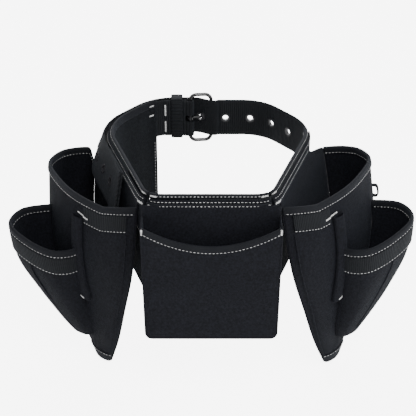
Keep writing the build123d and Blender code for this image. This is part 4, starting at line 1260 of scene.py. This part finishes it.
def closed_web(name, side, middle, size, across, thick, nodes):
    """A small flat loop of web that stands on the pouch's wall."""
    long, out = size
    ring = []
    for i in range(24):
        turn = 2 * math.pi * i / 24
        ring.append((long / 2 * math.copysign(abs(math.cos(turn)) ** 0.5, math.cos(turn)),
                     out * math.copysign(abs(math.sin(turn)) ** 0.7, math.sin(turn))))
    ring.append(ring[0])
    count = len(ring) - 1

    def shape(x, y):
        z, w = ring[round(x * count)]
        return hung(side, (middle[0] + (y - 0.5) * across, middle[1] + w, middle[2] + z))

    return cloth_sheet(name, count, 2, shape, (0.06, across * MM), closed=True, thick=thick,
                       body=side + "_pouch", finish="Webbing", slot="webbing", nodes=nodes)


def make_right_extras():
    """The pieces that only the right pouch has."""
    start, end = side_share(95.0, 0, 0.1, 0.8), side_share(168.0, 0, 0.2, 0.9)

    def pocket_shape(x, y):
        t = start + (end - start) * x
        return hung("right", side_wall(t, -52.0 - 66.0 * y, -2.7))

    pocket = cloth_sheet("right_patch_pocket", 24, 16, pocket_shape, (0.09, 0.066), thick=0.0012,
                         nodes=["right_inner_pocket"], body="right_pouch", finish="Pouch cloth",
                         slot="pouch_fabric")
    rows = [[hung("right", side_wall(t, -54.0, -3.8)) for t in steps(30, start, end)]]
    rows += [[hung("right", side_wall(t, z, -3.8)) for z in steps(20, -53.0, -117.0)]
             for t in (start + 0.008, end - 0.008)]
    sew("right_pocket_stitches", [pocket], rows, "right_pouch")
    wall_u, wall_z = 152.0, -62.0
    closed_web("right_hanging_loop", "right", (wall_u, side_depth(wall_u, wall_z) + 1.0, wall_z),
               (14.5, 4.2), 8.0, 0.0016, ["right_wall_loop"])
    low_u, low_z = 106.0, -208.0
    closed_web("right_foot_loop", "right", (low_u, side_depth(low_u, low_z) + 1.0, low_z),
               (14.5, 4.2), 10.0, 0.0016, ["right_low_loop"])
    rearmost = SMALL_FRONT["right"] + 0.70 * SMALL_LENGTH["right"]
    spots = [(t, small_spot("right", t, -100.0)) for t in steps(80)]
    ends = [t for t, spot in spots if spot.x > rearmost and spot.y > 92.0]

    def label_shape(x, y):
        t = ends[0] + (ends[-1] - ends[0]) * x
        return hung("right", small_spot("right", t, -90.5 - 21.0 * y, 1.9))

    cloth_sheet("right_plain_label", 12, 6, label_shape, (0.03, 0.021), thick=0.0008,
                nodes=["right_label"], body="right_pouch", finish="Label cloth", slot="label")


class TOOLBELT_OT_side_pouches(bpy.types.Operator):
    """Sew the two side pouches with their small pouches, sleeves and web bands"""
    bl_idname = "toolbelt.side_pouches"
    bl_label = "Sew the side pouches"

    def execute(self, context):
        for side in ("left", "right"):
            make_side_pouch(side)
        return {"FINISHED"}


class TOOLBELT_OT_right_extras(bpy.types.Operator):
    """Sew the right pouch's inner pocket, loops and plain label"""
    bl_idname = "toolbelt.right_extras"
    bl_label = "Sew the right pouch's extras"

    def execute(self, context):
        make_right_extras()
        return {"FINISHED"}


# ---- Stage -----------------------------------------------------------------------------------
def soft_light(name, place, aim, size, power):
    """A square soft light that looks at a point."""
    light = bpy.data.lights.new(name, "AREA")
    light.shape = "SQUARE"
    light.size = size
    light.energy = power
    lamp = bpy.data.objects.new(name, light)
    lamp.location = place
    lamp.rotation_euler = (Vector(aim) - Vector(place)).to_track_quat("-Z", "Y").to_euler()
    bpy.context.scene.collection.objects.link(lamp)


class TOOLBELT_OT_stage(bpy.types.Operator):
    """Set the pale floor, the soft lights and the camera"""
    bl_idname = "toolbelt.stage"
    bl_label = "Set the stage"

    def execute(self, context):
        material = bpy.data.materials.new("Pale floor")
        material.use_nodes = True
        shader = material.node_tree.nodes["Principled BSDF"]
        shader.inputs["Base Color"].default_value = list(colours().floor) + [1.0]
        shader.inputs["Roughness"].default_value = 0.9
        shader.inputs["Emission Color"].default_value = (1.0, 1.0, 1.0, 1.0)
        sight = material.node_tree.nodes.new("ShaderNodeLightPath")
        glow = sums(material.node_tree, "MULTIPLY", sight.outputs["Is Camera Ray"], 6.0)
        material.node_tree.links.new(glow, shader.inputs["Emission Strength"])
        bm = bmesh.new()
        bmesh.ops.create_grid(bm, x_segments=2, y_segments=2, size=6.0,
                              matrix=Matrix.Translation((0, 0, cad_box[0][2] - 0.004)))
        mesh = bpy.data.meshes.new("Floor")
        bm.to_mesh(mesh)
        bm.free()
        mesh.materials.append(material)
        floor = bpy.data.objects.new("Floor", mesh)
        context.scene.collection.objects.link(floor)
        world = bpy.data.worlds.new("Studio")
        world.use_nodes = True
        world.node_tree.nodes["Background"].inputs["Color"].default_value = (1.0, 1.0, 1.0, 1.0)
        world.node_tree.nodes["Background"].inputs["Strength"].default_value = 0.9
        context.scene.world = world
        soft_light("Key", (0.3, -1.4, 1.4), (0, 0, -0.05), 0.8, 26.0)
        soft_light("Fill", (1.3, -0.9, 0.5), (0, 0, -0.05), 1.0, 12.0)
        soft_light("Rim", (0.0, 1.3, 1.2), (0, 0, 0), 1.2, 16.0)
        lens = bpy.data.cameras.new("Camera")
        lens.sensor_width = 36.0
        lens.lens = 112.5
        camera = bpy.data.objects.new("Camera", lens)
        camera.location = (-0.0012, -1.3702, 0.7312)
        camera.rotation_euler = (math.radians(60.0), 0.0, 0.0)
        context.scene.collection.objects.link(camera)
        context.scene.camera = camera
        return {"FINISHED"}


PIECES = [TOOLBELT_OT_finishes, TOOLBELT_OT_webbing, TOOLBELT_OT_buckle, TOOLBELT_OT_hip_pads,
          TOOLBELT_OT_centre_pouch, TOOLBELT_OT_side_pouches, TOOLBELT_OT_right_extras,
          TOOLBELT_OT_stage]


class TOOLBELT_PT_panel(bpy.types.Panel):
    """The tool belt's pieces and settings"""
    bl_idname = "TOOLBELT_PT_panel"
    bl_label = "Tool belt"
    bl_space_type = "VIEW_3D"
    bl_region_type = "UI"
    bl_category = "Tool belt"

    def draw(self, context):
        for piece in PIECES:
            self.layout.operator(piece.bl_idname)
        for group in (context.scene.tool_belt_sizes, context.scene.tool_belt_colours):
            for name in group.__annotations__:
                self.layout.prop(group, name)


CLASSES = [ToolBeltSizes, ToolBeltColours] + PIECES + [TOOLBELT_PT_panel]


def register():
    """Registers the classes and the settings."""
    for item in CLASSES:
        bpy.utils.register_class(item)
    bpy.types.Scene.tool_belt_sizes = bpy.props.PointerProperty(type=ToolBeltSizes)
    bpy.types.Scene.tool_belt_colours = bpy.props.PointerProperty(type=ToolBeltColours)


def unregister():
    """Removes the classes and the settings."""
    del bpy.types.Scene.tool_belt_sizes
    del bpy.types.Scene.tool_belt_colours
    for item in reversed(CLASSES):
        bpy.utils.unregister_class(item)


def main():
    """Makes every piece in order."""
    register()
    for piece in PIECES:
        group, name = piece.bl_idname.split(".")
        getattr(getattr(bpy.ops, group), name)()
    bpy.context.view_layer.update()


if __name__ == "__main__":
    main()
